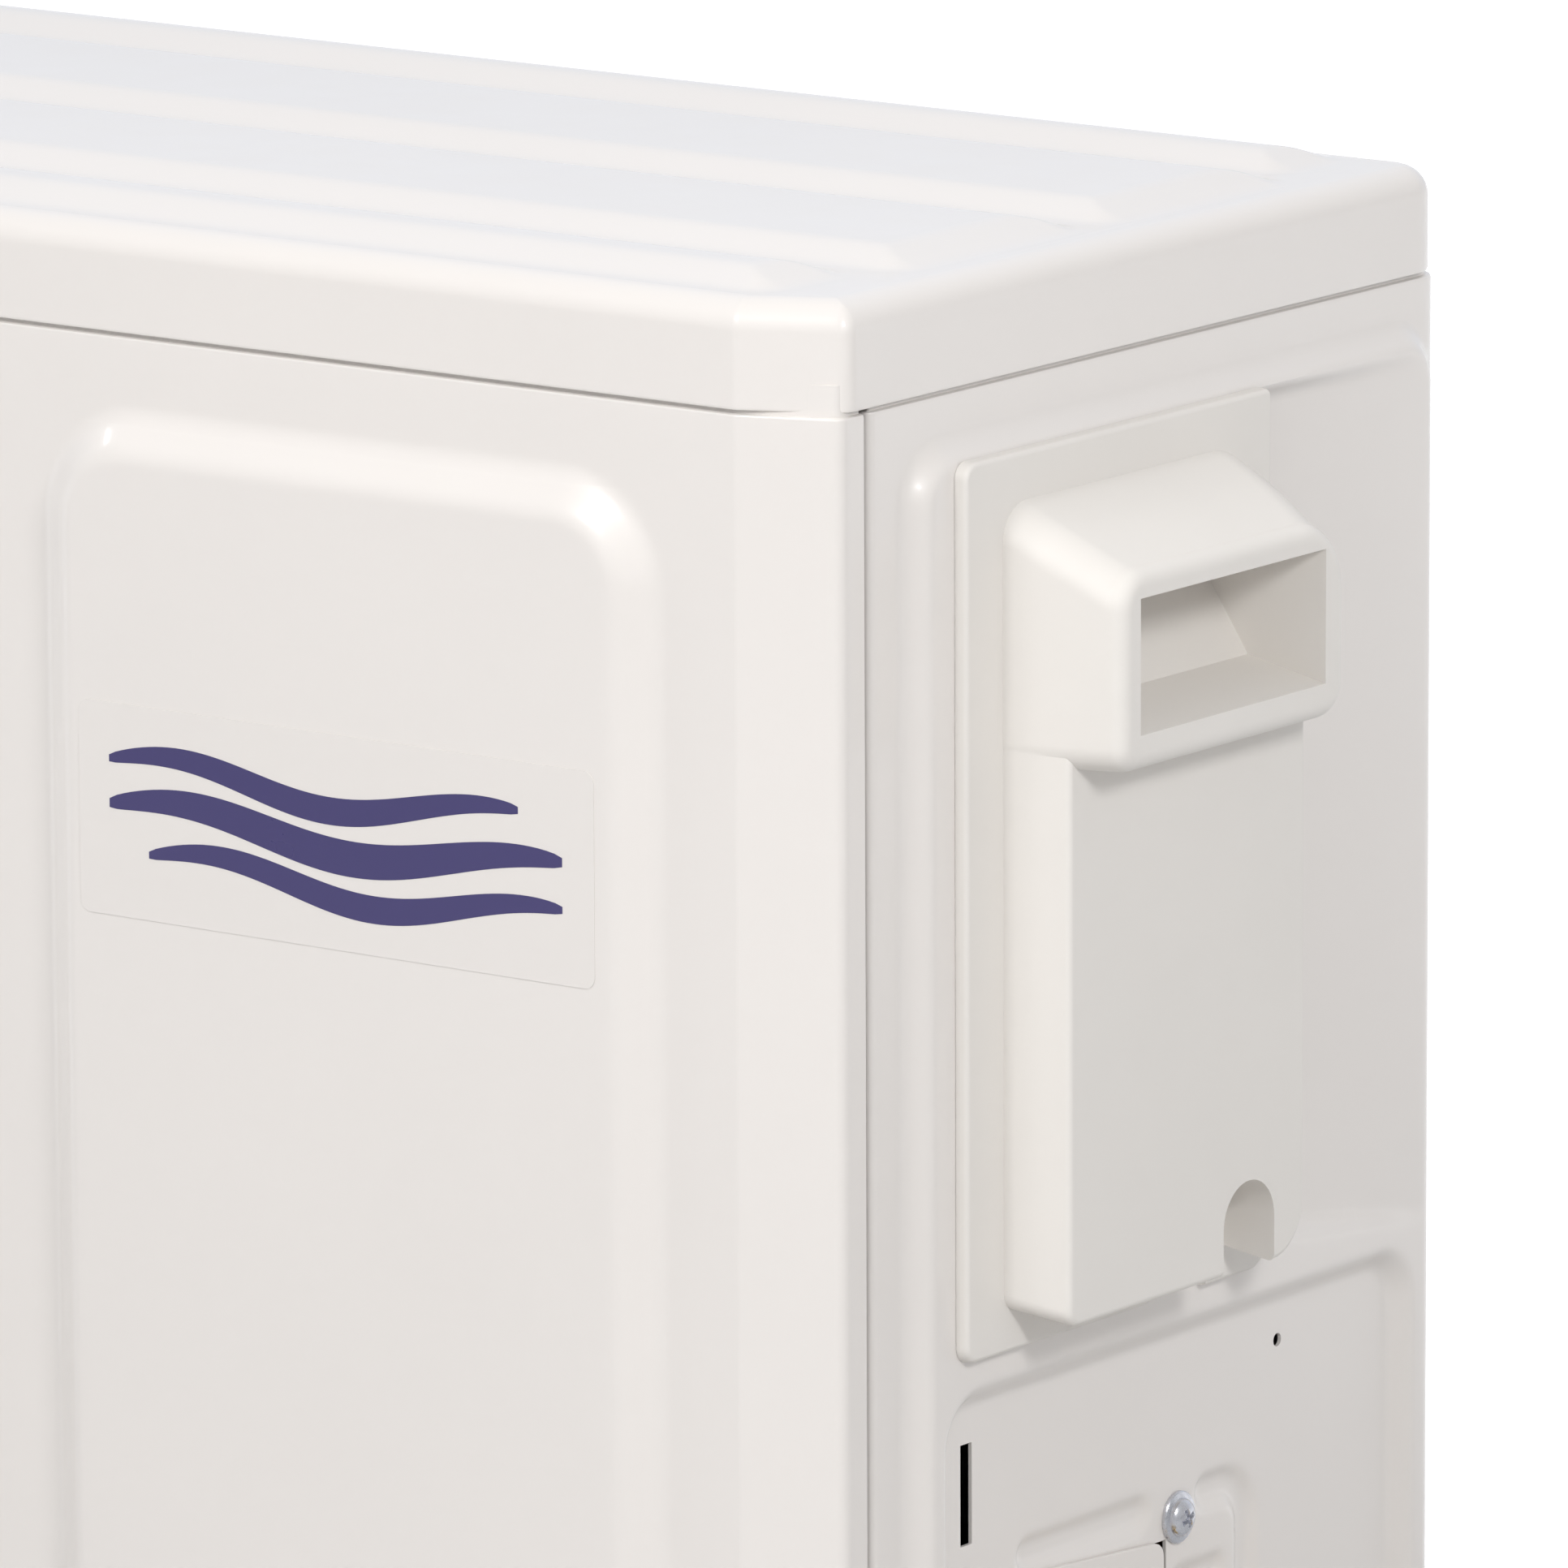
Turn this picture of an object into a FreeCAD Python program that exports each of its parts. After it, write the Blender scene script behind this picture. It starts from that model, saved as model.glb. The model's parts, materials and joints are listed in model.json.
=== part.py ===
import FreeCAD, Part
import math
import os
from types import SimpleNamespace

import Sketcher
from FreeCAD import Placement, Rotation, Vector

# Outdoor unit of a split air conditioner: a pressed-steel case on two feet, with a fan and coil on the left
# and the compressor, valves and wiring on the right.
# Frame: millimetres, +X to the right along the front, +Y to the rear, +Z up. The origin lies on the ground,
# at the centre of the four foot bolts. The front faces -Y.

doc = FreeCAD.newDocument("outdoor_unit")
sheet = doc.addObject("Spreadsheet::Sheet", "Sizes")

# ---------------------------------------------------------------------------------------------- dimensions
SIZES = {
    # case
    "case_wide": 760, "case_deep": 260, "cover_top": 540, "cover_skirt": 26.2, "cover_lip": 0.4,
    "cover_round": 7, "skin": 1.0, "corner_across": 23.6, "corner_back": 9.4, "rear_round": 9,
    "panel_foot": 21, "panel_gap": 2.4, "front_wrap": 19, "side_start": 20.2, "side_flange": 12,
    "back_return": 112, "neck_top": 521, "rib_rise": 4, "rib_slope": 13, "rib_end": 366,
    # front panel pressing
    "front_pad_left": 150, "front_pad_right": 333, "front_pad_top": 494, "front_pad_foot": 60,
    "front_pad_rise": 6, "front_pad_slope": 8,
    # side panel pressings
    "side_pad_front": 98, "side_pad_rear": 120, "side_pad_top": 503, "side_pad_foot": 34,
    "side_pad_rise": 4.8, "side_pad_slope": 5, "well_front": 81, "well_rear": 112, "well_top": 273,
    "well_foot": 50, "well_slope": 5, "scoop_deep": 5.5, "scoop_rear": 116, "scoop_foot": 284,
    "scoop_top": 495, "valve_hole_front": 62, "valve_hole_rear": 11, "valve_hole_top": 221,
    "valve_hole_foot": 62,
    # wiring cover
    "hood_front": 80, "hood_rear": 44.5, "hood_foot": 283, "hood_top": 497, "hood_plate": 2.5,
    "hood_body_front": 65.5, "hood_body_rear": 31, "hood_body_foot": 292, "hood_body_rise": 20.5,
    "hood_wall": 2.2, "grip_rise": 34, "grip_rear": 23.4, "grip_foot": 426, "grip_top": 473,
    "grip_hole_front": 60.3, "grip_hole_rear": 16.6, "grip_hole_foot": 434, "grip_hole_top": 466.5,
    "grip_hole_deep": 30, "notch_centre": 6, "notch_half": 10.5, "notch_high": 15,
    # feet and pan
    "foot_pitch": 510, "bolt_deep": 286, "foot_long": 312, "foot_half": 22, "foot_flange": 12,
    "foot_high": 18, "foot_sheet": 2, "slot_half": 5, "slot_long": 20, "pan_sheet": 1.2,
    "pan_wall": 24, "drain_hole": 12.5, "drain_collar": 8, "drain_across": 60,
    # fan side
    "fan_across": -110, "fan_up": 270, "fan_tip": 196, "fan_hub": 46, "fan_front": -98, "fan_back": -46,
    "mouth_hole": 204, "mouth_deep": 22, "grille_edge": 220, "grille_front": -143, "grille_back": -134,
    "grille_bar": 2.8, "grille_pitch": 12, "grille_hub": 34, "shaft_half": 4, "shaft_gap": 0.05,
    "motor_half": 46, "motor_front": -26, "motor_back": 46, "motor_wall": 2, "rotor_half": 23,
    "stator_hole": 24, "bearing_half": 9, "bearing_long": 7, "rail_wide": 26, "rail_apart": 116,
    # coil
    "coil_deep": 22, "coil_back": 119, "coil_right": 262, "coil_left": 373, "coil_foot": 24,
    "coil_top": 506, "coil_front": 92, "coil_tube": 3.5, "coil_step": 25, "divider_across": 150,
    # compressor
    "pump_across": 258, "pump_back": -12, "pump_half": 60, "pump_foot": 46, "pump_top": 272,
    "pump_wall": 4, "crank_half": 8, "crank_throw": 4, "roller_half": 19.6, "cylinder_hole": 24,
    "tank_across": 200, "tank_back": -88, "tank_half": 26, "tank_foot": 82, "tank_top": 232,
    # service valves
    "valve_back": -24, "gas_up": 168, "liquid_up": 102, "valve_out": 400, "cap_gap": 0.35,
    "gas_pipe": 4.76, "liquid_pipe": 3.175, "gas_flare": 7.94, "liquid_flare": 5.56, "stem_half": 4,
}


class Dim:
    """A length held both as a number and as the sheet formula that gives it."""

    def __init__(self, formula, number):
        self.formula = formula
        self.number = number

    def __add__(self, other):
        other = dim(other)
        return Dim(f"({self.formula} + {other.formula})", self.number + other.number)

    def __sub__(self, other):
        other = dim(other)
        return Dim(f"({self.formula} - {other.formula})", self.number - other.number)

    def __mul__(self, factor):
        return Dim(f"({self.formula} * {factor})", self.number * factor)

    def __truediv__(self, factor):
        return Dim(f"({self.formula} / {factor})", self.number / factor)

    def __neg__(self):
        return Dim(f"(0 - {self.formula})", -self.number)

    def __radd__(self, other):
        return dim(other) + self

    def __rsub__(self, other):
        return dim(other) - self

    __rmul__ = __mul__


def dim(value):
    return value if isinstance(value, Dim) else Dim(repr(round(float(value), 6)), float(value))


for row, (alias, number) in enumerate(SIZES.items(), start=1):
    sheet.set(f"A{row}", alias)
    sheet.set(f"B{row}", str(number))
    sheet.setAlias(f"B{row}", alias)
doc.recompute()
S = SimpleNamespace(**{alias: Dim(f"Sizes.{alias}", float(sheet.get(alias))) for alias in SIZES})

# faces of the case, used by many pieces
RIGHT = S.case_wide / 2
REAR = S.case_deep / 2
PANEL_TOP = S.cover_top - S.cover_skirt - S.panel_gap
SIDE_PAD = RIGHT + S.side_pad_rise
PAN_FLOOR = S.foot_high + S.pan_sheet

# label, front foot, rear foot and how much shorter than the longest each rib of the cover is
COVER_RIBS = (("front", -119, -84, 10), ("middle", -78, -2, 1), ("back", 5.5, 83, 0), ("rear", 90, 121, 8))

# ------------------------------------------------------------------------------------------------- helpers
TURN = {"X": Rotation(Vector(0, 1, 0), 90), "Y": Rotation(Vector(1, 0, 0), -90), "Z": Rotation()}
PLANE_OFFSET_SIGN = {"XY": 1, "XZ": -1, "YZ": 1}
NODES = []


def bind(item, **formulas):
    for path, value in formulas.items():
        item.setExpression(path, dim(value).formula)


def put(item, x, y, z, turn=None):
    if turn is not None:
        item.Placement = Placement(Vector(0, 0, 0), turn)
    for path, value in (("x", x), ("y", y), ("z", z)):
        item.setExpression(f"Placement.Base.{path}", dim(value).formula)
    return item


def node(name, item):
    """Registers a finished sub-part under its own label."""
    item.Label = name
    NODES.append(item)
    return item


def box(name, x, y, z):
    item = doc.addObject("Part::Box", name)
    bind(item, Length=dim(x[1]) - x[0], Width=dim(y[1]) - y[0], Height=dim(z[1]) - z[0])
    return put(item, x[0], y[0], z[0])


def along(axis, centre, start):
    """The point at `start` along an axis that passes through `centre` in the other two directions."""
    if axis == "X":
        return start, centre[0], centre[1]
    if axis == "Y":
        return centre[0], start, centre[1]
    return centre[0], centre[1], start


def rod(name, axis, centre, span, radius):
    item = doc.addObject("Part::Cylinder", name)
    bind(item, Radius=radius, Height=dim(span[1]) - span[0])
    return put(item, *along(axis, centre, span[0]), TURN[axis])


def cone(name, axis, centre, span, radius_start, radius_end):
    item = doc.addObject("Part::Cone", name)
    bind(item, Radius1=radius_start, Radius2=radius_end, Height=dim(span[1]) - span[0])
    return put(item, *along(axis, centre, span[0]), TURN[axis])


def hexagon(name, axis, centre, span, across_flats):
    item = doc.addObject("Part::Prism", name)
    item.Polygon = 6
    bind(item, Circumradius=dim(across_flats) / math.sqrt(3), Height=dim(span[1]) - span[0])
    return put(item, *along(axis, centre, span[0]), TURN[axis])


def pressing(name, faces, base, top, first, second, slope):
    """A frustum pressed out of a sheet: base and top lie along the face's normal."""
    item = doc.addObject("Part::Wedge", name)
    if faces == "+X":
        item.Placement = Placement(Vector(0, 0, 0), Rotation(Vector(0, 0, 1), -90))
        across, other = (-dim(first[1]), -dim(first[0])), second
    elif faces == "-Y":
        item.Placement = Placement(Vector(0, 0, 0), Rotation(Vector(0, 0, 1), 180))
        across, other = (-dim(first[1]), -dim(first[0])), second
    else:
        item.Placement = Placement(Vector(0, 0, 0), Rotation(Vector(1, 0, 0), 90))
        across, other = first, (-dim(second[1]), -dim(second[0]))
    bind(item, Xmin=across[0], Xmax=across[1], Ymin=base, Ymax=top, Zmin=other[0], Zmax=other[1])
    bind(item, X2min=dim(across[0]) + slope, X2max=dim(across[1]) - slope)
    bind(item, Z2min=dim(other[0]) + slope, Z2max=dim(other[1]) - slope)
    return item


def fuse(name, *items):
    item = doc.addObject("Part::MultiFuse", name)
    item.Shapes = list(items)
    return item


def cut(name, base, *tools):
    item = doc.addObject("Part::Cut", name)
    item.Base = base
    item.Tool = tools[0] if len(tools) == 1 else fuse(f"{name}_tools", *tools)
    return item


def group(name, *items):
    """Identical separate pieces that share one node."""
    item = doc.addObject("Part::Compound", name)
    item.Links = list(items)
    return item


def new_body(name):
    return doc.addObject("PartDesign::Body", name)


def new_sketch(body, name, plane, shift=0):
    sketch = body.newObject("Sketcher::SketchObject", name)
    support = [item for item in body.Origin.OriginFeatures if item.Role == f"{plane}_Plane"][0]
    sketch.AttachmentSupport = [(support, "")]
    sketch.MapMode = "FlatFace"
    sketch.setExpression("AttachmentOffset.Base.z", (dim(shift) * PLANE_OFFSET_SIGN[plane]).formula)
    return sketch


def draw_polygon(sketch, points):
    """A closed outline whose every corner is tied to the sheet."""
    corners = [(dim(x), dim(y)) for x, y in points]
    first = sketch.GeometryCount
    spots = [Vector(x.number, y.number, 0) for x, y in corners]
    for start, end in zip(spots, spots[1:] + spots[:1]):
        sketch.addGeometry(Part.LineSegment(start, end), False)
    for index, (x, y) in enumerate(corners):
        line = first + index
        after = first + (index + 1) % len(corners)
        sketch.addConstraint(Sketcher.Constraint("Coincident", line, 2, after, 1))
        for kind, value in (("DistanceX", x), ("DistanceY", y)):
            place = sketch.addConstraint(Sketcher.Constraint(kind, -1, 1, line, 1, value.number))
            sketch.setExpression(f"Constraints[{place}]", value.formula)


def rectangle(x, y):
    return [(x[0], y[0]), (x[1], y[0]), (x[1], y[1]), (x[0], y[1])]


def feature(body, kind, name, sketch, length, reverse=False):
    item = body.newObject(f"PartDesign::{kind}", name)
    item.Profile = sketch
    bind(item, Length=length)
    item.Reversed = reverse
    body.Tip = item
    return item


def revolved(name, axis, centre, points):
    """A turned piece: points are (along, radius) pairs, drawn beside the axis and spun round it."""
    body = new_body(name)
    sketch = new_sketch(body, f"{name}_profile", "XY")
    draw_polygon(sketch, [(radius, height) for height, radius in points])
    turned = body.newObject("PartDesign::Revolution", f"{name}_turned")
    turned.Profile = sketch
    turned.ReferenceAxis = (sketch, ["V_Axis"])
    turned.Angle = 360
    body.Tip = turned
    spin = {
        "X": Rotation(Vector(0, 0, 1), -90),
        "Y": Rotation(),
        "Z": Rotation(Vector(1, 0, 0), 90),
    }[axis]
    return put(body, *along(axis, centre, 0), spin)


def bent_pipe(name, points, radius, bend):
    """A tube along straight runs joined by tangent arcs."""
    spots = [Vector(*[dim(value).number for value in point]) for point in points]
    edges = []
    start = spots[0]
    for before, corner, after in zip(spots, spots[1:], spots[2:]):
        into = (corner - before).normalize()
        out = (after - corner).normalize()
        half_turn = into.getAngle(out) / 2
        leg = bend * math.tan(half_turn)
        arc_start = corner - into * leg
        arc_end = corner + out * leg
        middle = corner + (out - into).normalize() * (bend / math.cos(half_turn) - bend)
        edges.append(Part.LineSegment(start, arc_start).toShape())
        edges.append(Part.Arc(arc_start, middle, arc_end).toShape())
        start = arc_end
    edges.append(Part.LineSegment(start, spots[-1]).toShape())
    path = doc.addObject("Part::Feature", f"{name}_path")
    path.Shape = Part.Wire(edges)
    ring = doc.addObject("Part::Circle", f"{name}_ring")
    bind(ring, Radius=radius)
    heading = Rotation(Vector(0, 0, 1), (spots[1] - spots[0]).normalize())
    put(ring, *points[0], heading)
    sweep = doc.addObject("Part::Sweep", name)
    sweep.Sections = [ring]
    sweep.Spine = (path, [f"Edge{index + 1}" for index in range(len(edges))])
    sweep.Solid = True
    return sweep


def case_outline(grow):
    """Plan of the case, larger than the panels by `grow`: square at the back, cut corners at the front."""
    side, rear = RIGHT + grow, REAR + grow
    across, back = RIGHT - S.corner_across + grow, REAR - S.corner_back + grow
    return [(-side, rear), (-side, -back), (-across, -rear), (across, -rear), (side, -back), (side, rear)]


# ------------------------------------------------------------------------------------------- case: bottom
def make_foot(name, across):
    """Hat channel across the depth, with a slotted ear beyond each end of the case."""
    body = new_body(f"{name}_channel_body")
    half, sheet_mm, rim = S.foot_half, S.foot_sheet, S.foot_half + S.foot_flange
    hat = new_sketch(body, f"{name}_hat", "XZ", -REAR + 4)
    draw_polygon(hat, [
        (-rim, S.foot_high - sheet_mm), (-half, S.foot_high - sheet_mm), (-half, 0), (half, 0),
        (half, S.foot_high - sheet_mm), (rim, S.foot_high - sheet_mm), (rim, S.foot_high),
        (half - sheet_mm, S.foot_high), (half - sheet_mm, sheet_mm), (-half + sheet_mm, sheet_mm),
        (-half + sheet_mm, S.foot_high), (-rim, S.foot_high),
    ])
    feature(body, "Pad", f"{name}_channel", hat, S.case_deep - 8, reverse=True)
    sole = new_sketch(body, f"{name}_sole", "XY")
    draw_polygon(sole, rectangle((-half, half), (-S.foot_long / 2, S.foot_long / 2)))
    feature(body, "Pad", f"{name}_ears", sole, sheet_mm)
    put(body, across, 0, 0)
    slots = []
    for label, side in (("front", -1), ("rear", 1)):
        y = S.bolt_deep * (side / 2)
        run = S.slot_long / 2 - S.slot_half
        slots.append(fuse(
            f"{name}_{label}_slot",
            box(f"{name}_{label}_slot_run", (across - run, across + run),
                (y - S.slot_half, y + S.slot_half), (-1, sheet_mm + 1)),
            rod(f"{name}_{label}_slot_left", "Z", (across - run, y), (-1, sheet_mm + 1), S.slot_half),
            rod(f"{name}_{label}_slot_right", "Z", (across + run, y), (-1, sheet_mm + 1), S.slot_half),
        ))
    return node(name, cut(f"{name}_slotted", body, *slots))


def make_base_pan():
    body = new_body("pan_tray_body")
    outer = new_sketch(body, "pan_outline", "XY", S.foot_high)
    draw_polygon(outer, case_outline(-S.skin - 0.3))
    feature(body, "Pad", "pan_block", outer, S.pan_wall)
    inner = new_sketch(body, "pan_inside", "XY", S.foot_high + S.pan_wall)
    draw_polygon(inner, case_outline(-S.skin - 0.3 - S.pan_sheet))
    feature(body, "Pocket", "pan_tray", inner, S.pan_wall - S.pan_sheet)
    collar = rod("drain_collar_outer", "Z", (S.drain_across, 0),
                 (PAN_FLOOR - S.drain_collar, PAN_FLOOR), S.drain_hole + 1.5)
    bore = rod("drain_bore", "Z", (S.drain_across, 0),
               (PAN_FLOOR - S.drain_collar - 1, PAN_FLOOR + 1), S.drain_hole)
    return node("base_pan", cut("pan_with_drain", fuse("pan_with_collar", body, collar), bore))


# -------------------------------------------------------------------------------------------- case: sheets
def make_top_cover():
    """Lid with a rounded edge, a skirt all round and four ribs pressed up along its length."""
    body = new_body("cover_shell")
    outline = new_sketch(body, "cover_outline", "XY", S.cover_top - S.cover_skirt)
    draw_polygon(outline, case_outline(S.cover_lip))
    block = feature(body, "Pad", "cover_block", outline, S.cover_skirt)
    doc.recompute()
    upright = []
    for index, edge in enumerate(block.Shape.Edges, start=1):
        ends = [vertex.Point for vertex in edge.Vertexes]
        if abs(ends[0].z - ends[1].z) > 1 and ends[0].y > 0:
            upright.append(f"Edge{index}")
    rounded = body.newObject("PartDesign::Fillet", "cover_rear_corners")
    rounded.Base = (block, upright)
    bind(rounded, Radius=S.rear_round)
    body.Tip = rounded
    doc.recompute()
    top = S.cover_top.number
    rim = [f"Edge{index}" for index, edge in enumerate(rounded.Shape.Edges, start=1)
           if all(abs(vertex.Point.z - top) < 0.01 for vertex in edge.Vertexes)]
    soft = body.newObject("PartDesign::Fillet", "cover_top_edge")
    soft.Base = (rounded, rim)
    bind(soft, Radius=S.cover_round)
    body.Tip = soft
    doc.recompute()
    low = top - S.cover_skirt.number
    bottom = [f"Face{index}" for index, face in enumerate(soft.Shape.Faces, start=1)
              if abs(face.CenterOfMass.z - low) < 0.01]
    hollow = body.newObject("PartDesign::Thickness", "cover_hollow")
    hollow.Base = (soft, bottom)
    bind(hollow, Value=S.skin)
    hollow.Reversed = True
    body.Tip = hollow
    ribs, hollows = [], []
    for label, front, rear, inset in COVER_RIBS:
        end = S.rib_end - inset
        ribs.append(pressing(f"rib_{label}", "+Z", S.cover_top, S.cover_top + S.rib_rise,
                             (-end, end), (front, rear), S.rib_slope))
        hollows.append(pressing(f"rib_{label}_under", "+Z", S.cover_top - S.skin,
                                S.cover_top + S.rib_rise - S.skin, (-end + S.skin, end - S.skin),
                                (front + S.skin, rear - S.skin), S.rib_slope))
    return node("top_cover", cut("cover_pressed", fuse("cover_ribbed", body, *ribs), *hollows))


def make_front_panel():
    """Front sheet with folded corners, the fan mouth with its collar, and one large raised field."""
    body = new_body("front_sheet")
    side, across = RIGHT, RIGHT - S.corner_across
    back, edge = -REAR + S.corner_back, -REAR + S.front_wrap
    strip = new_sketch(body, "front_plan", "XY", S.panel_foot)
    draw_polygon(strip, [
        (-side, edge), (-side, back), (-across, -REAR), (across, -REAR), (side, back), (side, edge),
        (side - S.skin, edge), (side - S.skin, back + 0.6), (across - 0.3, -REAR + S.skin),
        (-across + 0.3, -REAR + S.skin), (-side + S.skin, back + 0.6), (-side + S.skin, edge),
    ])
    feature(body, "Pad", "front_fold", strip, PANEL_TOP - S.panel_foot)
    neck = new_sketch(body, "front_neck_plan", "XY", PANEL_TOP - 3)
    skin = S.skin
    draw_polygon(neck, [
        (-side + skin, edge), (-side + skin, back + 0.6), (-across + 0.3, -REAR + skin),
        (across - 0.3, -REAR + skin), (side - skin, back + 0.6), (side - skin, edge),
        (side - 2 * skin, edge), (side - 2 * skin, back + 1.2), (across - 0.6, -REAR + 2 * skin),
        (-across + 0.6, -REAR + 2 * skin), (-side + 2 * skin, back + 1.2), (-side + 2 * skin, edge),
    ])
    feature(body, "Pad", "front_neck", neck, S.neck_top - PANEL_TOP + 3)
    fan, inner_end = (S.fan_across, S.fan_up), -REAR + S.mouth_deep
    collar = rod("mouth_outer", "Y", fan, (-REAR, inner_end), S.mouth_hole + S.skin)
    mouth = rod("mouth_inner", "Y", fan, (-REAR - 1, inner_end + 1), S.mouth_hole)
    span, rise = (S.front_pad_left, S.front_pad_right), (S.front_pad_foot, S.front_pad_top)
    raised = pressing("front_pad", "-Y", REAR - S.skin, REAR + S.front_pad_rise, span, rise,
                      S.front_pad_slope)
    behind = pressing("front_pad_behind", "-Y", REAR - 2 * S.skin, REAR + S.front_pad_rise - S.skin,
                      (span[0] + S.skin, span[1] - S.skin), (rise[0] + S.skin, rise[1] - S.skin),
                      S.front_pad_slope)
    fused = fuse("front_raised", body, collar, raised)
    return node("front_panel", cut("front_pressed", fused, mouth, behind))


def shrunk(span, margin):
    """A span with the same margin taken off both of its ends."""
    return span[0] + margin, span[1] - margin


def make_side_panel():
    """Right-hand sheet: raised field, sunken well for the valves, hand scoop, and its wiring window."""
    body = new_body("side_sheet")
    start, end = -REAR + S.side_start, RIGHT - S.back_return
    strip = new_sketch(body, "side_plan", "XY", S.panel_foot)
    skin = S.skin
    draw_polygon(strip, [
        (RIGHT - S.side_flange, start), (RIGHT, start), (RIGHT, REAR), (end, REAR), (end, REAR - skin),
        (RIGHT - skin, REAR - skin), (RIGHT - skin, start + skin), (RIGHT - S.side_flange, start + skin),
    ])
    feature(body, "Pad", "side_fold", strip, PANEL_TOP - S.panel_foot)
    neck = new_sketch(body, "side_neck_plan", "XY", PANEL_TOP - 3)
    draw_polygon(neck, [
        (RIGHT - skin, start + skin), (RIGHT - skin, REAR - 8), (RIGHT - 8, REAR - skin), (end, REAR - skin),
        (end, REAR - 2 * skin), (RIGHT - 8.5, REAR - 2 * skin), (RIGHT - 2 * skin, REAR - 8.5),
        (RIGHT - 2 * skin, start + skin),
    ])
    feature(body, "Pad", "side_neck", neck, S.neck_top - PANEL_TOP + 3)
    field = ((-S.side_pad_front, S.side_pad_rear), (S.side_pad_foot, S.side_pad_top))
    well = ((-S.well_front, S.well_rear), (S.well_foot, S.well_top))
    raised = pressing("side_pad", "+X", RIGHT - skin, SIDE_PAD, *field, S.side_pad_slope)
    behind = pressing("side_pad_behind", "+X", RIGHT - 2 * skin, SIDE_PAD - skin,
                      (field[0][0] + skin, field[0][1] - skin), (field[1][0] + skin, field[1][1] - skin),
                      S.side_pad_slope)
    sunk = pressing("well_hollow", "+X", RIGHT, SIDE_PAD + 1, shrunk(well[0], S.well_slope),
                    shrunk(well[1], S.well_slope), -S.well_slope * 1.2)
    floor = pressing("well_floor", "+X", RIGHT - skin, SIDE_PAD, shrunk(well[0], S.well_slope - skin),
                     shrunk(well[1], S.well_slope - skin), -S.well_slope)
    scoop = make_scoop("scoop_hollow", 0)
    scoop_sheet = make_scoop("scoop_floor", 1)
    sheet_behind = cut("side_behind", behind, floor, scoop_sheet)
    window = box("wiring_window", (RIGHT - 20, SIDE_PAD + 5), (-S.hood_front + 9, S.hood_rear - 9),
                 (300, 486))
    slot = box("locating_slot", (RIGHT - 5, RIGHT + 2), (-74.7, -70.1), (236.6, 262))
    pilot = rod("pilot_hole", "X", (57.5, 261), (RIGHT - 5, RIGHT + 2), 1.6)
    valves = box("valve_window", (RIGHT - 5, RIGHT + 2), (-S.valve_hole_front, S.valve_hole_rear),
                 (S.valve_hole_foot, S.valve_hole_top - 4))
    notch = box("flange_notch", (RIGHT - S.side_flange - 1, RIGHT - skin), (start - 1, start + 2),
                (S.panel_foot - 1, S.foot_high + S.pan_wall + 1))
    pressed = cut("side_pressed", fuse("side_raised", body, raised), sunk, scoop)
    openings = (window, slot, pilot, valves, notch)
    return node("side_panel", cut("side_cut", pressed, sheet_behind, *openings))


def make_scoop(name, grow):
    """The hand scoop behind the wiring cover: deep at its front, running out flush at its rear."""
    sketch_body = new_body(name)
    plan = new_sketch(sketch_body, f"{name}_plan", "XY", S.scoop_foot - grow)
    front = S.hood_rear - 6 - grow
    deep = SIDE_PAD - S.scoop_deep - grow
    rear = S.scoop_rear + 2 * grow
    outer = SIDE_PAD + (1 - grow)
    draw_polygon(plan, [(deep, front), (outer, front), (outer, rear), (SIDE_PAD - grow, rear)])
    feature(sketch_body, "Pad", f"{name}_solid", plan, S.scoop_top - S.scoop_foot + 2 * grow)
    return sketch_body


def make_left_panel():
    """Left-hand sheet with rows of air slots beside the coil."""
    body = new_body("left_panel")
    blank = new_sketch(body, "left_blank", "YZ", -RIGHT)
    start = -REAR + S.side_start
    draw_polygon(blank, rectangle((start, REAR - 1), (S.panel_foot, PANEL_TOP)))
    feature(body, "Pad", "left_sheet", blank, S.skin)
    slots = new_sketch(body, "left_slots", "YZ", -RIGHT)
    for column in range(3):
        front = -88 + column * 62
        draw_polygon(slots, rectangle((front, front + 50), (70, 76)))
    row = feature(body, "Pocket", "left_slot_row", slots, S.skin * 2, reverse=True)
    rows = body.newObject("PartDesign::LinearPattern", "left_slot_rows")
    rows.Originals = [row]
    rows.Direction = (slots, ["V_Axis"])
    rows.Length = 396
    rows.Occurrences = 34
    body.Tip = rows
    return node("left_panel", body)


def make_rear_guard():
    """Grid that guards the coil across the back."""
    body = new_body("rear_guard")
    left, right = -RIGHT + 4, RIGHT - S.back_return - 1
    blank = new_sketch(body, "guard_blank", "XZ", REAR - 4)
    draw_polygon(blank, rectangle((left, right), (S.foot_high + S.pan_wall + 1, PANEL_TOP - 2)))
    feature(body, "Pad", "guard_sheet", blank, 3, reverse=True)
    windows = new_sketch(body, "guard_windows", "XZ", REAR - 4)
    for level in range(10):
        foot = 50 + level * 45.5
        draw_polygon(windows, rectangle((left + 10, left + 27), (foot, foot + 41)))
    first = feature(body, "Pocket", "guard_column", windows, 4)
    columns = body.newObject("PartDesign::LinearPattern", "guard_columns")
    columns.Originals = [first]
    columns.Direction = (windows, ["H_Axis"])
    columns.Length = 588
    columns.Occurrences = 29
    body.Tip = columns
    return node("rear_guard", body)


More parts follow.
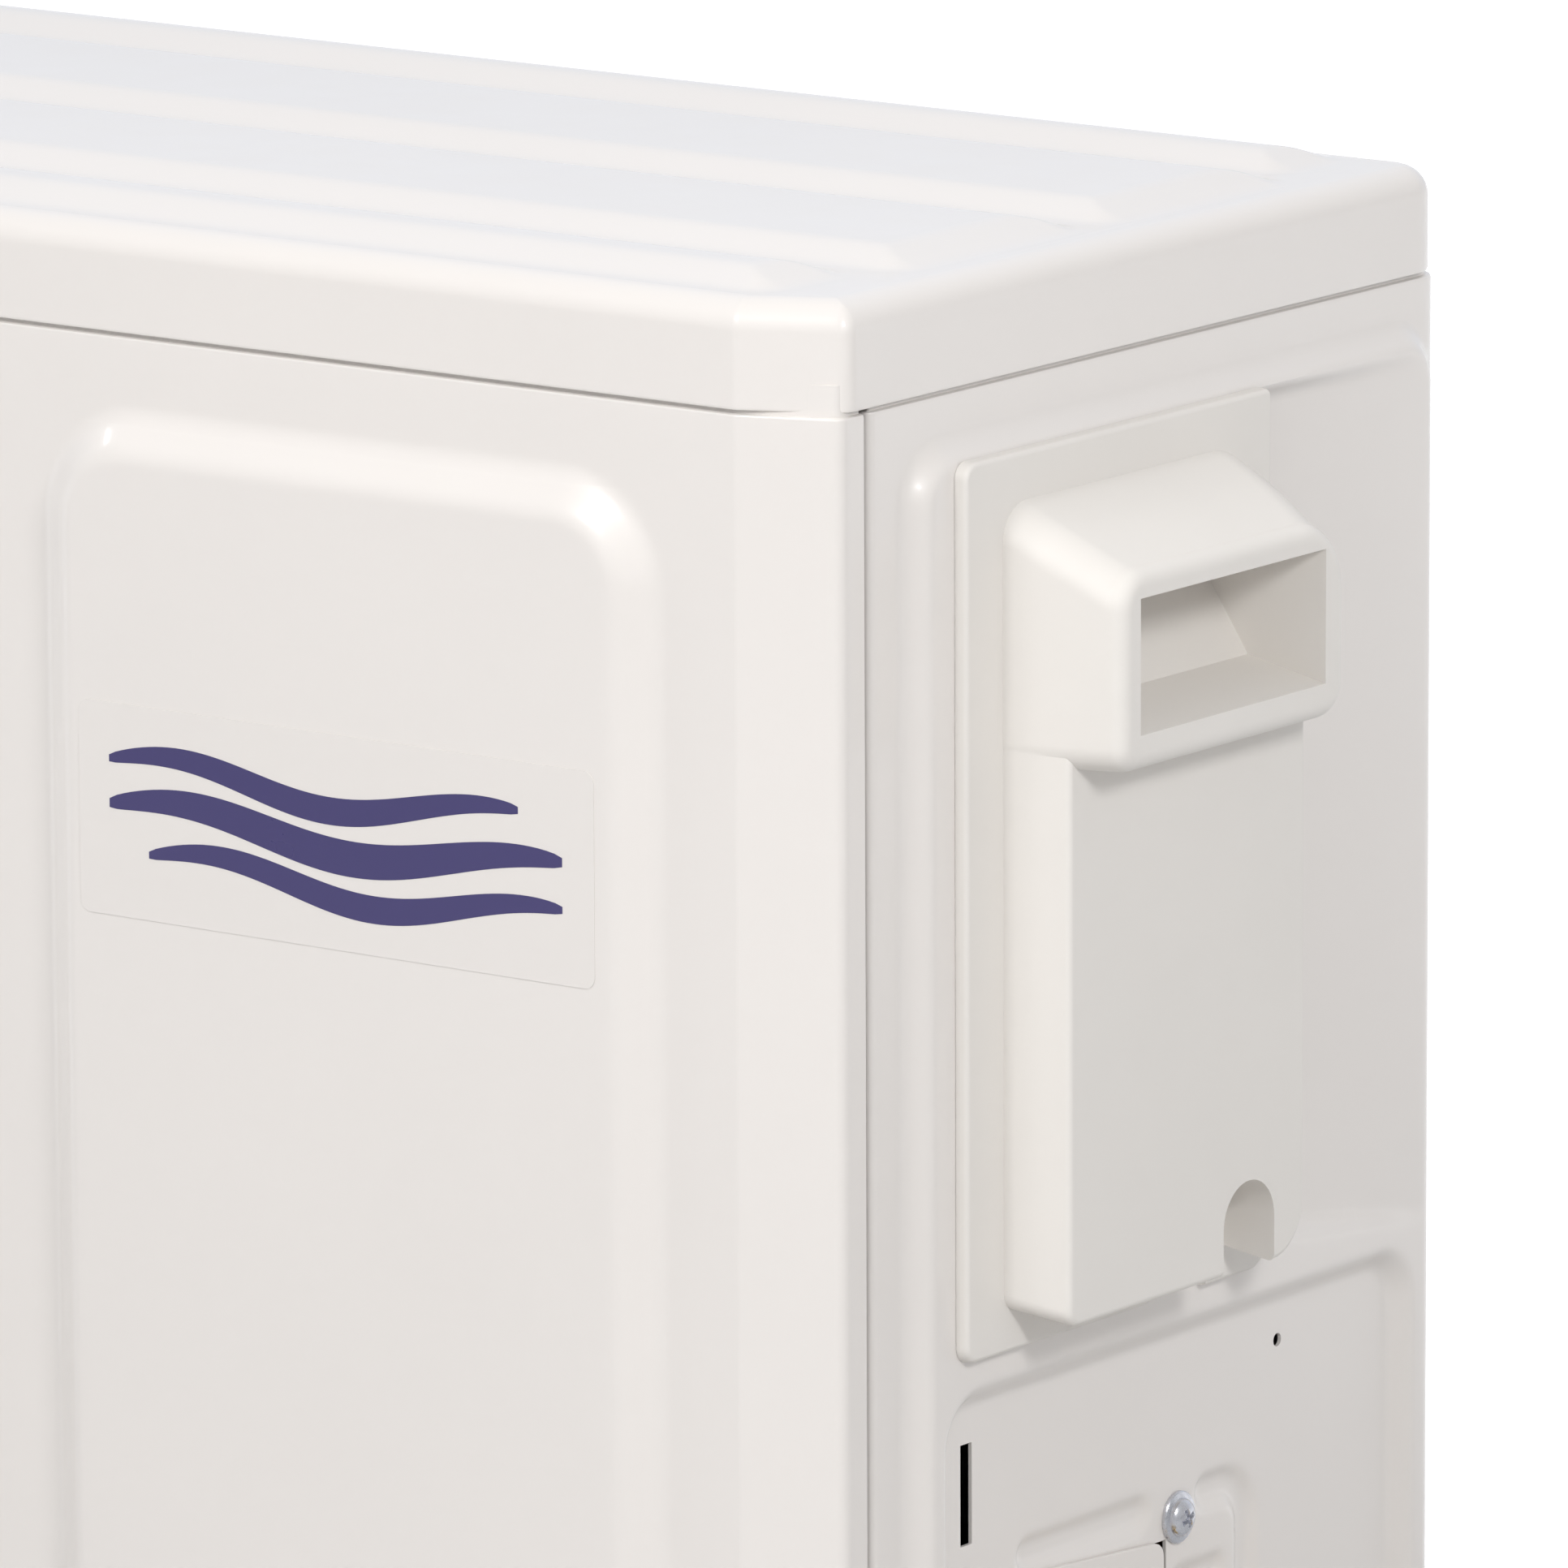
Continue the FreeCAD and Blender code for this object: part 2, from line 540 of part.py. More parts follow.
def make_fan_grille():
    """Round guard in front of the fan: rings joined by radial bars, on a flange round the mouth."""
    body = new_body("fan_grille")
    if hasattr(body, "AllowCompound"):
        body.AllowCompound = True
    rings = new_sketch(body, "grille_rings", "XY")
    draw_polygon(rings, rectangle((0, S.grille_hub), (S.grille_front, S.grille_back)))
    count = 14
    for index in range(1, count + 1):
        near = S.grille_hub + S.grille_pitch * index - S.grille_bar / 2
        draw_polygon(rings, rectangle((near, near + S.grille_bar), (S.grille_front, S.grille_back)))
    draw_polygon(rings, rectangle((S.mouth_hole + 3, S.grille_edge), (S.grille_back - 2, -REAR)))
    turned = body.newObject("PartDesign::Revolution", "grille_turned")
    turned.Profile = rings
    turned.ReferenceAxis = (rings, ["V_Axis"])
    turned.Angle = 360
    body.Tip = turned
    spoke = new_sketch(body, "grille_spoke", "XZ", S.grille_back)
    draw_polygon(spoke, rectangle((S.grille_hub - 2, S.grille_edge - 4), (-2.2, 2.2)))
    bar = feature(body, "Pad", "grille_bar_solid", spoke, 6)
    fan = body.newObject("PartDesign::PolarPattern", "grille_bars")
    fan.Originals = [bar]
    fan.Axis = (spoke, ["N_Axis"])
    fan.Angle = 360
    fan.Occurrences = 12
    body.Tip = fan
    return node("fan_grille", put(body, S.fan_across, 0, S.fan_up, Rotation()))


# ------------------------------------------------------------------------------------- wiring cover (hood)
def make_wiring_cover():
    """Moulded cover over the wiring, with a finger grip above and a cable notch below."""
    back = SIDE_PAD + 0.1
    plate = box("hood_plate_solid", (back, back + S.hood_plate), (-S.hood_front, S.hood_rear),
                (S.hood_foot, S.hood_top))
    face, grip_face = SIDE_PAD + S.hood_body_rise, SIDE_PAD + S.grip_rise
    lower = box("hood_body", (SIDE_PAD + 1, face), (-S.hood_body_front, S.hood_body_rear),
                (S.hood_body_foot, S.grip_foot + 20))
    grip = doc.addObject("Part::Wedge", "hood_grip")
    grip.Placement = Placement(Vector(0, 0, 0), Rotation(Vector(0, 0, 1), -90))
    bind(grip, Xmin=-S.grip_rear - 14, Xmax=S.hood_body_front, X2min=-S.grip_rear, X2max=S.hood_body_front)
    bind(grip, Ymin=SIDE_PAD + 1, Ymax=grip_face)
    bind(grip, Zmin=S.grip_foot, Zmax=S.grip_top + 13, Z2min=S.grip_foot, Z2max=S.grip_top)
    wall = S.hood_wall
    inner_front = -S.hood_body_front + wall
    lower_in = box("hood_body_inside", (SIDE_PAD - 1, face - wall), (inner_front, S.hood_body_rear - wall),
                   (S.hood_body_foot + wall, S.grip_foot + 18))
    grip_in = box("hood_grip_inside", (SIDE_PAD - 1, grip_face - wall - 4), (inner_front, S.grip_rear - 1),
                  (S.grip_foot + wall, S.grip_top - wall))
    pocket_span = (-S.grip_hole_front, S.grip_hole_rear)
    pocket_rise = (S.grip_hole_foot, S.grip_hole_top)
    pocket_back = grip_face - S.grip_hole_deep
    pocket = box("grip_pocket_hollow", (pocket_back, grip_face + 1), pocket_span, pocket_rise)
    walls = box("grip_pocket_walls", (pocket_back - wall, grip_face), shrunk(pocket_span, -wall),
                shrunk(pocket_rise, -wall))
    notch_floor = S.hood_body_foot + S.notch_high
    notch = fuse(
        "cable_notch",
        box("cable_notch_run", (face - 12, face + 1),
            (S.notch_centre - S.notch_half, S.notch_centre + S.notch_half), (S.hood_body_foot - 1, notch_floor)),
        rod("cable_notch_arch", "X", (S.notch_centre, notch_floor), (face - 12, face + 1), S.notch_half),
    )
    inside = cut("hood_inside", fuse("hood_inside_all", lower_in, grip_in), walls)
    outside = fuse("hood_outside", plate, lower, grip)
    return node("wiring_cover", cut("hood_hollow", outside, inside, pocket, notch))


# ----------------------------------------------------------------------------------------------- fan group
def make_fan_group():
    """Fan wheel, its nut, and the motor that turns it: shaft with rotor, housing, stator and bearings."""
    centre = (S.fan_across, S.fan_up)
    back, front = S.fan_back, S.fan_front
    hub = revolved("fan_hub_body", "Y", centre, [
        (front + 6, S.shaft_half), (front + 6, S.fan_hub - 8), (front + 14, S.fan_hub),
        (back, S.fan_hub), (back, S.fan_hub - 3), (front + 16, S.fan_hub - 3), (front + 16, 12),
        (back - 12, 12), (back - 12, S.shaft_half),
    ])
    blades = []
    for index in range(3):
        blade = new_body(f"fan_blade_{index + 1}")
        root = new_sketch(blade, f"blade_root_{index + 1}", "YZ", S.fan_hub - 1.6)
        tip = new_sketch(blade, f"blade_tip_{index + 1}", "YZ", S.fan_tip - 22)
        draw_polygon(root, [(-24, -30), (-21.8, -31), (22, 29), (19.8, 30)])
        draw_polygon(tip, [(-20, -84), (-18.6, -85.6), (20, 76), (18.6, 77.6)])
        loft = blade.newObject("PartDesign::AdditiveLoft", f"blade_loft_{index + 1}")
        loft.Profile = root
        loft.Sections = [(tip, [""])]
        loft.Ruled = True
        blade.Tip = loft
        put(blade, S.fan_across, (front + back) / 2, S.fan_up, Rotation(Vector(0, 1, 0), 120 * index + 20))
        blades.append(blade)
    node("axial_fan", fuse("fan_wheel", hub, *blades))
    node("fan_nut", cut("fan_nut_bored", hexagon("fan_nut_solid", "Y", centre, (front - 1, front + 6), 14),
                        rod("fan_nut_hole", "Y", centre, (front - 2, front + 7), S.shaft_half)))
    rotor_run = (S.motor_front + 14, S.motor_back - 14)
    node("motor_shaft", fuse("motor_shaft_solid",
                             rod("shaft_rod", "Y", centre, (front - 3, S.motor_back - 3), S.shaft_half),
                             rod("shaft_rotor", "Y", centre, rotor_run, S.rotor_half)))
    wall = S.motor_wall
    seat = S.bearing_half + 2
    near, far, inner = S.motor_front, S.motor_back, S.motor_half - wall
    housing = revolved("motor_housing_body", "Y", centre, [
        (near - 6, S.bearing_half), (near - 6, seat), (near, seat), (near, S.motor_half), (far, S.motor_half),
        (far, 0), (far - wall, 0), (far - wall, S.bearing_half + 1), (far - wall - 1, S.bearing_half + 1),
        (far - wall - 1, inner), (near + wall, inner), (near + wall, S.bearing_half),
    ])
    node("motor_housing", housing)
    node("motor_stator", cut("stator_ring", rod("stator_solid", "Y", centre, (near + 16, far - 16), inner),
                             rod("stator_bore", "Y", centre, (near + 15, far - 15), S.stator_hole)))
    bearings = []
    for label, start in (("front", near - 6), ("back", far - wall - 1 - S.bearing_long)):
        end = start + S.bearing_long
        race = rod(f"bearing_{label}_race", "Y", centre, (start, end), S.bearing_half)
        bore = rod(f"bearing_{label}_bore", "Y", centre, (start - 1, end + 1), S.shaft_half + S.shaft_gap)
        bearings.append(cut(f"bearing_{label}", race, bore))
    node("motor_bearings", group("motor_bearing_pair", *bearings))


def make_motor_bracket():
    """Two upright rails with cross bars that carry the fan motor, and the four screws that hold it."""
    x, half = S.fan_across, S.rail_apart / 2
    y = (S.motor_back, S.motor_back + 1.5)
    rails = []
    for label, middle in (("left", x - half), ("right", x + half)):
        rails.append(box(f"rail_{label}", (middle - S.rail_wide / 2, middle + S.rail_wide / 2), y,
                         (PAN_FLOOR, PANEL_TOP - 3)))
    for label, low, high in (("top", 300, 330), ("bottom", 210, 240), ("head", 490, 505)):
        rails.append(box(f"bracket_{label}", (x - half, x + half), y, (low, high)))
    node("motor_bracket", fuse("bracket_frame", *rails))
    screws = []
    for index in range(4):
        angle = math.radians(45 + 90 * index)
        spot = (x + 50 * math.cos(angle), S.fan_up + 50 * math.sin(angle))
        screws.append(spot)
    pins = []
    for index, spot in enumerate(screws, start=1):
        pins.append(rod(f"motor_screw_{index}", "Y", spot, (S.motor_back + 1.5, S.motor_back + 5), 4))
    node("motor_screws", group("motor_screw_set", *pins))


# ---------------------------------------------------------------------------------------------------- coil
def make_coil():
    """Condenser coil bent round the left rear corner, with its return bends and end plates."""
    back = (S.coil_back - S.coil_deep, S.coil_back)
    tall = (S.coil_foot, S.coil_top)
    rear = box("coil_rear", (-S.coil_left, S.coil_right), back, tall)
    left = box("coil_side", (-S.coil_left, -S.coil_left + S.coil_deep), (-S.coil_front, S.coil_back), tall)
    node("condenser_fins", fuse("coil_block", rear, left))
    bends = []
    middle = S.coil_back - S.coil_deep / 2
    for index in range(9):
        bend = doc.addObject("Part::Torus", f"hairpin_{index + 1}")
        bind(bend, Radius1=S.coil_step / 2, Radius2=S.coil_tube)
        bend.Angle3 = 180
        turn = Rotation(Vector(1, 0, 0), 90) * Rotation(Vector(0, 0, 1), -90)
        put(bend, S.coil_right + 1, middle, S.coil_foot + 40 + S.coil_step * 2 * index, turn)
        bends.append(bend)
    node("coil_hairpins", group("hairpin_set", *bends))
    height = (S.coil_foot - 2, S.coil_top + 2)
    node("coil_end_plates", group(
        "coil_end_plate_pair",
        box("coil_right_plate", (S.coil_right, S.coil_right + 1), (back[0] - 4, back[1] + 4), height),
        box("coil_front_plate", (-S.coil_left - 3, -S.coil_left + S.coil_deep + 4),
            (-S.coil_front - 1, -S.coil_front), height),
    ))


def make_divider():
    """The sheet that parts the fan side from the compressor side."""
    x = S.divider_across
    tall = (PAN_FLOOR, PANEL_TOP - 2)
    wall = box("divider_wall", (x, x + 1), (-REAR + 3, S.coil_back - S.coil_deep - 1), tall)
    fold = box("divider_fold", (x, x + 14), (-REAR + 3, -REAR + 4), tall)
    node("divider_plate", fuse("divider", wall, fold))


# ---------------------------------------------------------------------------------------------- compressor
def make_compressor():
    """Rotary compressor: shell, motor, crank, roller, cylinder, bearings, accumulator and its mounts."""
    centre = (S.pump_across, S.pump_back)
    half, wall, foot, top = S.pump_half, S.pump_wall, S.pump_foot, S.pump_top
    shell = revolved("pump_shell", "Z", centre, [
        (foot, 0), (foot, half - 22), (foot + 16, half), (top - 20, half), (top - 6, half - 24), (top, half - 40),
        (top, 0), (top - wall, 0), (top - wall, half - 42), (top - wall - 6, half - 26),
        (top - 22, half - wall), (foot + 18, half - wall), (foot + wall, half - 24), (foot + wall, 0),
    ])
    inner = half - wall - 0.1
    node("compressor_stator", cut("pump_stator", rod("pump_stator_solid", "Z", centre, (166, 232), inner),
                                  rod("pump_stator_bore", "Z", centre, (165, 233), 31)))
    throw = (S.pump_across + S.crank_throw, S.pump_back)
    node("crankshaft", fuse("crank_solid", rod("crank_rod", "Z", centre, (74, 244), S.crank_half),
                            rod("crank_rotor", "Z", centre, (168, 230), 30.2),
                            rod("crank_eccentric", "Z", throw, (96.5, 119.5), 13)))
    node("rolling_piston", cut("roller", rod("roller_solid", "Z", throw, (96.5, 119.5), S.roller_half),
                               rod("roller_bore", "Z", throw, (95, 121), 13)))
    node("pump_cylinder", cut("cylinder_ring", rod("cylinder_solid", "Z", centre, (96, 120), inner),
                              rod("cylinder_bore", "Z", centre, (95, 121), S.cylinder_hole)))
    for name, disc, boss in (("main_bearing", (120, 127), (127, 158)), ("end_bearing", (88, 96), (76, 88))):
        node(name, cut(f"{name}_bored",
                       fuse(f"{name}_solid", rod(f"{name}_disc", "Z", centre, disc, 44),
                            rod(f"{name}_boss", "Z", centre, boss, 15)),
                       rod(f"{name}_bore", "Z", centre, (70, 160), S.crank_half + S.shaft_gap)))
    tank = (S.tank_across, S.tank_back)
    low, high, girth = S.tank_foot, S.tank_top, S.tank_half
    node("accumulator", revolved("tank_shell", "Z", tank, [
        (low, 0), (low, 8), (low + 12, girth), (high - 12, girth), (high, 8), (high, 0), (high - 2, 0),
        (high - 2, 7), (high - 13, girth - 2), (low + 13, girth - 2), (low + 2, 7), (low + 2, 0),
    ]))
    grommets, studs, nuts, lugs, bores = [], [], [], [], []
    for index in range(3):
        angle = math.radians(30 + 120 * index)
        reach = S.pump_half + 16
        spot = (S.pump_across + reach * math.cos(angle), S.pump_back + reach * math.sin(angle))
        rubber = rod(f"grommet_{index}_rubber", "Z", spot, (PAN_FLOOR, 42), 12)
        grommets.append(cut(f"grommet_{index}", rubber, rod(f"grommet_{index}_bore", "Z", spot, (10, 50), 4.6)))
        studs.append(rod(f"stud_{index}", "Z", spot, (PAN_FLOOR, 60), 4))
        nuts.append(cut(f"stud_nut_{index}", hexagon(f"stud_nut_{index}_solid", "Z", spot, (46.4, 52.5), 13),
                        rod(f"stud_nut_{index}_bore", "Z", spot, (44, 60), 4)))
        lugs.append(rod(f"pump_lug_{index}", "Z", spot, (42, S.pump_foot), 14))
        bores.append(rod(f"pump_lug_{index}_bore", "Z", spot, (40, 50), 4.6))
    web = rod("lug_web", "Z", centre, (42, S.pump_foot), S.pump_half + 5)
    node("compressor_shell", cut("pump_footed", fuse("pump_feet", shell, web, *lugs), *bores))
    node("rubber_grommets", group("grommet_set", *grommets))
    node("compressor_studs", group("stud_set", *studs))
    node("compressor_nuts", group("stud_nut_set", *nuts))
    node("terminal_cap", cut("pump_cap_hollow", rod("pump_cap", "Z", centre, (top + 0.2, top + 22), 17),
                             rod("pump_cap_inside", "Z", centre, (top - 1, top + 20), 15)))


# ------------------------------------------------------------------------------------------------ plumbing
def make_plumbing():
    """Four-way valve with its solenoid, the copper runs, the strainer and the capillary."""
    x, y = S.pump_across, S.pump_back
    valve_y, valve_z = 62, 352
    body = fuse("four_way_solid", rod("four_way_barrel", "X", (valve_y, valve_z), (206, 316), 12),
                rod("four_way_top", "Z", (261, valve_y), (valve_z, valve_z + 30), 5),
                rod("four_way_left", "Z", (238, valve_y), (valve_z - 30, valve_z), 6),
                rod("four_way_middle", "Z", (261, valve_y), (valve_z - 30, valve_z), 6),
                rod("four_way_right", "Z", (284, valve_y), (valve_z - 30, valve_z), 6))
    node("reversing_valve", body)
    node("reversing_coil", cut("coil_block_bored", box("solenoid", (318, 342), (valve_y - 15, valve_y + 15),
                                                       (valve_z - 16, valve_z + 16)),
                               rod("solenoid_bore", "X", (valve_y, valve_z), (317, 330), 8)))
    node("discharge_pipe", bent_pipe("discharge_run", [
        (x + 32, y, S.pump_top - 2.2), (x + 32, y, 392), (x + 3, y + 30, 400), (261, valve_y, 400),
        (261, valve_y, valve_z + 30)], 5, 8))
    node("suction_pipe", bent_pipe("suction_run", [
        (S.tank_across, S.tank_back, S.tank_top), (S.tank_across, S.tank_back, 290), (S.tank_across, 40, 290),
        (238, valve_y, 290), (238, valve_y, valve_z - 30)], 6, 10))
    node("gas_line", bent_pipe("gas_run", [
        (284, valve_y, valve_z - 30), (284, valve_y, 250), (340, 74, 230), (346, 40, S.gas_up + 8),
        (346, S.valve_back, S.gas_up), (RIGHT - 9, S.valve_back, S.gas_up)], 5, 8))
    node("coil_line", bent_pipe("coil_run", [
        (261, valve_y, valve_z - 30), (261, valve_y, 300), (296, 100, 290), (S.coil_right + 28, 108, 89),
        (S.coil_right + 1.1, 108, 89)], 5, 7))
    node("liquid_line", bent_pipe("liquid_run", [
        (S.coil_right + 1.1, 108, 38), (296, 108, 38), (346, 50, 70), (346, S.valve_back, S.liquid_up),
        (RIGHT - 9, S.valve_back, S.liquid_up)], 3.2, 6))
    node("strainer", cut("strainer_bored", rod("strainer_can", "Z", (348, 96), (60, 110), 9),
                         rod("strainer_inside", "Z", (348, 96), (62, 108), 7.5)))
    turns = []
    for index in range(4):
        turn = doc.addObject("Part::Torus", f"capillary_turn_{index + 1}")
        bind(turn, Radius1=15, Radius2=1.3)
        put(turn, 348, 92, 116 + index * 3, Rotation())
        turns.append(turn)
    node("capillary_coil", group("capillary_set", *turns))


def make_service_valve(name, up, flare, pipe, port):
    """Brass stop valve: a stem under a cap, a flare for the field pipe, and a port on the gas side."""
    y, out, neck = S.valve_back, S.valve_out, 9
    start = RIGHT + 1.6
    pieces = [
        hexagon(f"{name}_block", "X", (y, up), (start + 1.5, out + 8), 26),
        rod(f"{name}_neck", "X", (y, up), (out + 8, out + 24), neck),
        rod(f"{name}_shoulder", "Y", (out - 4, up), (y + 4, y + 16), flare + 3),
        rod(f"{name}_flare", "Y", (out - 4, up), (y + 4, y + 42), flare),
        box(f"{name}_flange", (start, start + 2), (y - 11, y + 11), (up - 24, up + 24)),
        rod(f"{name}_tail", "X", (y, up), (RIGHT - 9, start + 1), pipe - 0.4),
    ]
    if port:
        pieces.append(rod(f"{name}_port", "Y", (out - 4, up), (y - 30, y - 4), 5))
    holes = [
        rod(f"{name}_stem_bore", "X", (y, up), (out - 4, out + 25), S.stem_half + S.shaft_gap),
        rod(f"{name}_flare_bore", "Y", (out - 4, up), (y + 8, y + 43), flare - 3.2),
    ]
    node(name, cut(f"{name}_bored", fuse(f"{name}_solid", *pieces), *holes))
    socket = hexagon(f"{name}_key", "X", (y, up), (out + 13, out + 21), 4)
    stem = rod(f"{name}_stem_solid", "X", (y, up), (out - 3.8, out + 20), S.stem_half)
    node(f"{name}_stem", cut(f"{name}_stem_socket", stem, socket))
    cap = hexagon(f"{name}_cap_solid", "X", (y, up), (out + 8.3, out + 29), 23)
    cap_bore = rod(f"{name}_cap_bore", "X", (y, up), (out + 7, out + 26), neck + S.cap_gap)
    node(f"{name}_cap", cut(f"{name}_cap_bored", cap, cap_bore))
    if port:
        small_cap = hexagon("port_cap_solid", "Y", (out - 4, up), (y - 34, y - 16), 14)
        small_bore = rod("port_cap_bore", "Y", (out - 4, up), (y - 32, y - 15), 5 + S.cap_gap)
        node("port_cap", cut("port_cap_bored", small_cap, small_bore))


def make_valve_plate():
    """The plate that closes the valve window, bored for the two valves."""
    plate = box("valve_plate_sheet", (RIGHT + 0.1, RIGHT + 1.5),
                (-S.valve_hole_front - 6, S.valve_hole_rear - 4), (S.valve_hole_foot - 6, S.valve_hole_top))
    holes = [rod(f"valve_plate_{label}", "X", (S.valve_back, up), (RIGHT - 2, RIGHT + 4), radius)
             for label, up, radius in (("gas", S.gas_up, 9), ("liquid", S.liquid_up, 7))]
    node("valve_plate", cut("valve_plate_bored", plate, *holes))


# -------------------------------------------------------------------------------------------- electric kit
def make_electrics():
    """Tray with the board and capacitor, and the terminal block behind the wiring cover."""
    floor = 408
    tray = cut("tray_hollow", box("tray_block", (160, 352), (-112, 84), (floor, floor + 60)),
               box("tray_inside", (161.2, 350.8), (-110.8, 82.8), (floor + 1.2, floor + 61)))
    node("electric_box", tray)
    node("control_board", box("board", (172, 300), (-100, -10), (floor + 8, floor + 9.6)))
    node("run_capacitor", rod("capacitor_can", "Z", (322, -70), (floor + 1.2, floor + 56), 20))
    back = RIGHT - 22
    sheet = box("terminal_sheet", (back, back + 1.5), (-70, 34), (302, 404))
    fold = box("terminal_fold", (back - 12, back), (-70, 34), (402.5, 404))
    node("terminal_bracket", fuse("terminal_plate", sheet, fold))
    block = box("terminal_body", (back + 1.5, back + 16), (-62, 22), (352, 384))
    troughs = [box(f"terminal_trough_{index}", (back + 8, back + 17),
                   (-58 + 16 * index, -46 + 16 * index), (351, 385)) for index in range(5)]
    node("terminal_block", cut("terminal_comb", block, *troughs))
    screws = []
    for index in range(5):
        for label, up in (("upper", 376), ("lower", 360)):
            spot = (-52 + 16 * index, up)
            screws.append(rod(f"terminal_screw_{label}_{index}", "X", spot, (back + 8, back + 11), 3))
    node("terminal_screws", group("terminal_screw_set", *screws))
    clamp = cut("clamp_arch", box("clamp_solid", (back + 1.5, back + 17), (-16, 28), (318, 328)),
                rod("clamp_hole", "Z", (back + 9, 6), (317, 329), 5))
    node("cable_clamp", clamp)


# ------------------------------------------------------------------------------------- screws and the badge
def side_screw(name, y, up, surface):
    """A pan head with its washer face on the side sheet."""
    head = rod(f"{name}_washer", "X", (y, up), (surface, surface + 1.2), 6.2)
    dome = cone(f"{name}_dome", "X", (y, up), (surface + 1.2, surface + 3.2), 5, 3.2)
    return fuse(name, head, dome)


def front_screw(name, across, up, surface):
    """The same head on the front sheet."""
    spot = (across, up)
    head = rod(f"{name}_washer", "Y", spot, (surface - 1.2, surface), 6.2)
    dome = cone(f"{name}_dome", "Y", spot, (surface - 3.2, surface - 1.2), 3.2, 5)
    return fuse(name, head, dome)


def make_screws():
    """The case screws, all alike: two hold the valve plate, the others the side and front sheets."""
    screws = []
    for label, y, up, surface in (
        ("plate_top", 14.6, 225.6, RIGHT + 0.1), ("plate_foot", -58, 68, RIGHT + 1.6),
        ("front_foot", -101, 27.6, RIGHT + 0.1), ("rear_foot", 115, 27.6, RIGHT + 0.1),
    ):
        screws.append(side_screw(f"screw_{label}", y, up, surface))
    for index, across in enumerate((-340, -60, 120, 345)):
        screws.append(front_screw(f"front_screw_{index}", across, 32, -REAR - 0.1))
    ring = (S.mouth_hole + S.grille_edge) / 2 + 1.5
    for index in range(4):
        angle = math.radians(45 + 90 * index)
        screws.append(front_screw(f"grille_screw_{index}", S.fan_across + ring * math.cos(angle),
                                  S.fan_up + ring * math.sin(angle), S.grille_back - 2.1))
    node("case_screws", group("case_screw_set", *screws))


def make_badge():
    """A thin film with a plain mark, stuck on the raised field of the front."""
    face = -REAR - S.front_pad_rise
    node("badge_film", box("badge_sheet", (166, 314), (face - 0.25, face - 0.05), (381, 425)))


# ---------------------------------------------------------------------------------------------------- build
make_foot("left_foot", -S.foot_pitch / 2)
make_foot("right_foot", S.foot_pitch / 2)
make_base_pan()
make_top_cover()
make_front_panel()
make_side_panel()
make_left_panel()
make_rear_guard()
make_fan_grille()
make_wiring_cover()
make_fan_group()
make_motor_bracket()
make_coil()
make_divider()
make_compressor()
make_plumbing()
make_valve_plate()
make_service_valve("gas_valve", S.gas_up, S.gas_flare, S.gas_pipe, True)
make_service_valve("liquid_valve", S.liquid_up, S.liquid_flare, S.liquid_pipe, False)
make_electrics()
make_screws()
make_badge()
doc.recompute()

for item in doc.Objects:
    if "Invalid" in item.State or "Error" in item.State:
        raise RuntimeError(f"{item.Name} did not build: {item.State}")
os.makedirs("parts", exist_ok=True)
for item in NODES:
    if item.Shape.isNull() or not item.Shape.isValid():
        raise RuntimeError(f"{item.Label} has no valid shape")
    item.Shape.exportStep(f"parts/{item.Label}.step")
print(len(NODES), "nodes written")
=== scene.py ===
import json
import math

import bmesh
import bpy
import numpy as np
from mathutils import Matrix, Vector
from mathutils.geometry import tessellate_polygon


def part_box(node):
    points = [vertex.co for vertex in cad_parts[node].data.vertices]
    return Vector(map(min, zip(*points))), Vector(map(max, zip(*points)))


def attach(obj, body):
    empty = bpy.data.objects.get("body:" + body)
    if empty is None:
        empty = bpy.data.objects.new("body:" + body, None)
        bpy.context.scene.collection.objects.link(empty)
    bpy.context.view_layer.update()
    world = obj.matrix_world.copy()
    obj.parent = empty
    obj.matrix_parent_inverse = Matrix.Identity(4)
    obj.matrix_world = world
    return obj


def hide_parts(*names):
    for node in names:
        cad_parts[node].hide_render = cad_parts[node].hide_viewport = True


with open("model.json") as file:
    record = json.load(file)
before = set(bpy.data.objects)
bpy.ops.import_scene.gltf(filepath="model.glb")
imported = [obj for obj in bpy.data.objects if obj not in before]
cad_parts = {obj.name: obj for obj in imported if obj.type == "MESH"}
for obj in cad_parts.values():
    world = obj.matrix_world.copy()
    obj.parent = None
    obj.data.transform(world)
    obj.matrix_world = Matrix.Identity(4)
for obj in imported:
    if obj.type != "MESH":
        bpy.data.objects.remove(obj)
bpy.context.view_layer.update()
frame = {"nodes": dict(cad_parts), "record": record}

# Lengths below are millimetres in the frame of the CAD part: +X right along the front, +Y to the rear, +Z up.
# piece() turns them into metres.
MM = 0.001


# --- materials
def shader(name, colour, roughness, metallic=0.0, specular=0.5, coat=0.0):
    """A material with its Principled shader and a noise vector in the object's own space."""
    mat = bpy.data.materials.new(name)
    mat.use_nodes = True
    tree = mat.node_tree
    bsdf = tree.nodes["Principled BSDF"]
    bsdf.inputs["Base Color"].default_value = colour
    bsdf.inputs["Roughness"].default_value = roughness
    bsdf.inputs["Metallic"].default_value = metallic
    bsdf.inputs["Specular IOR Level"].default_value = specular
    bsdf.inputs["Coat Weight"].default_value = coat
    bsdf.inputs["Coat Roughness"].default_value = 0.1
    place = tree.nodes.new("ShaderNodeTexCoord")
    return mat, tree, bsdf, place.outputs["Object"]


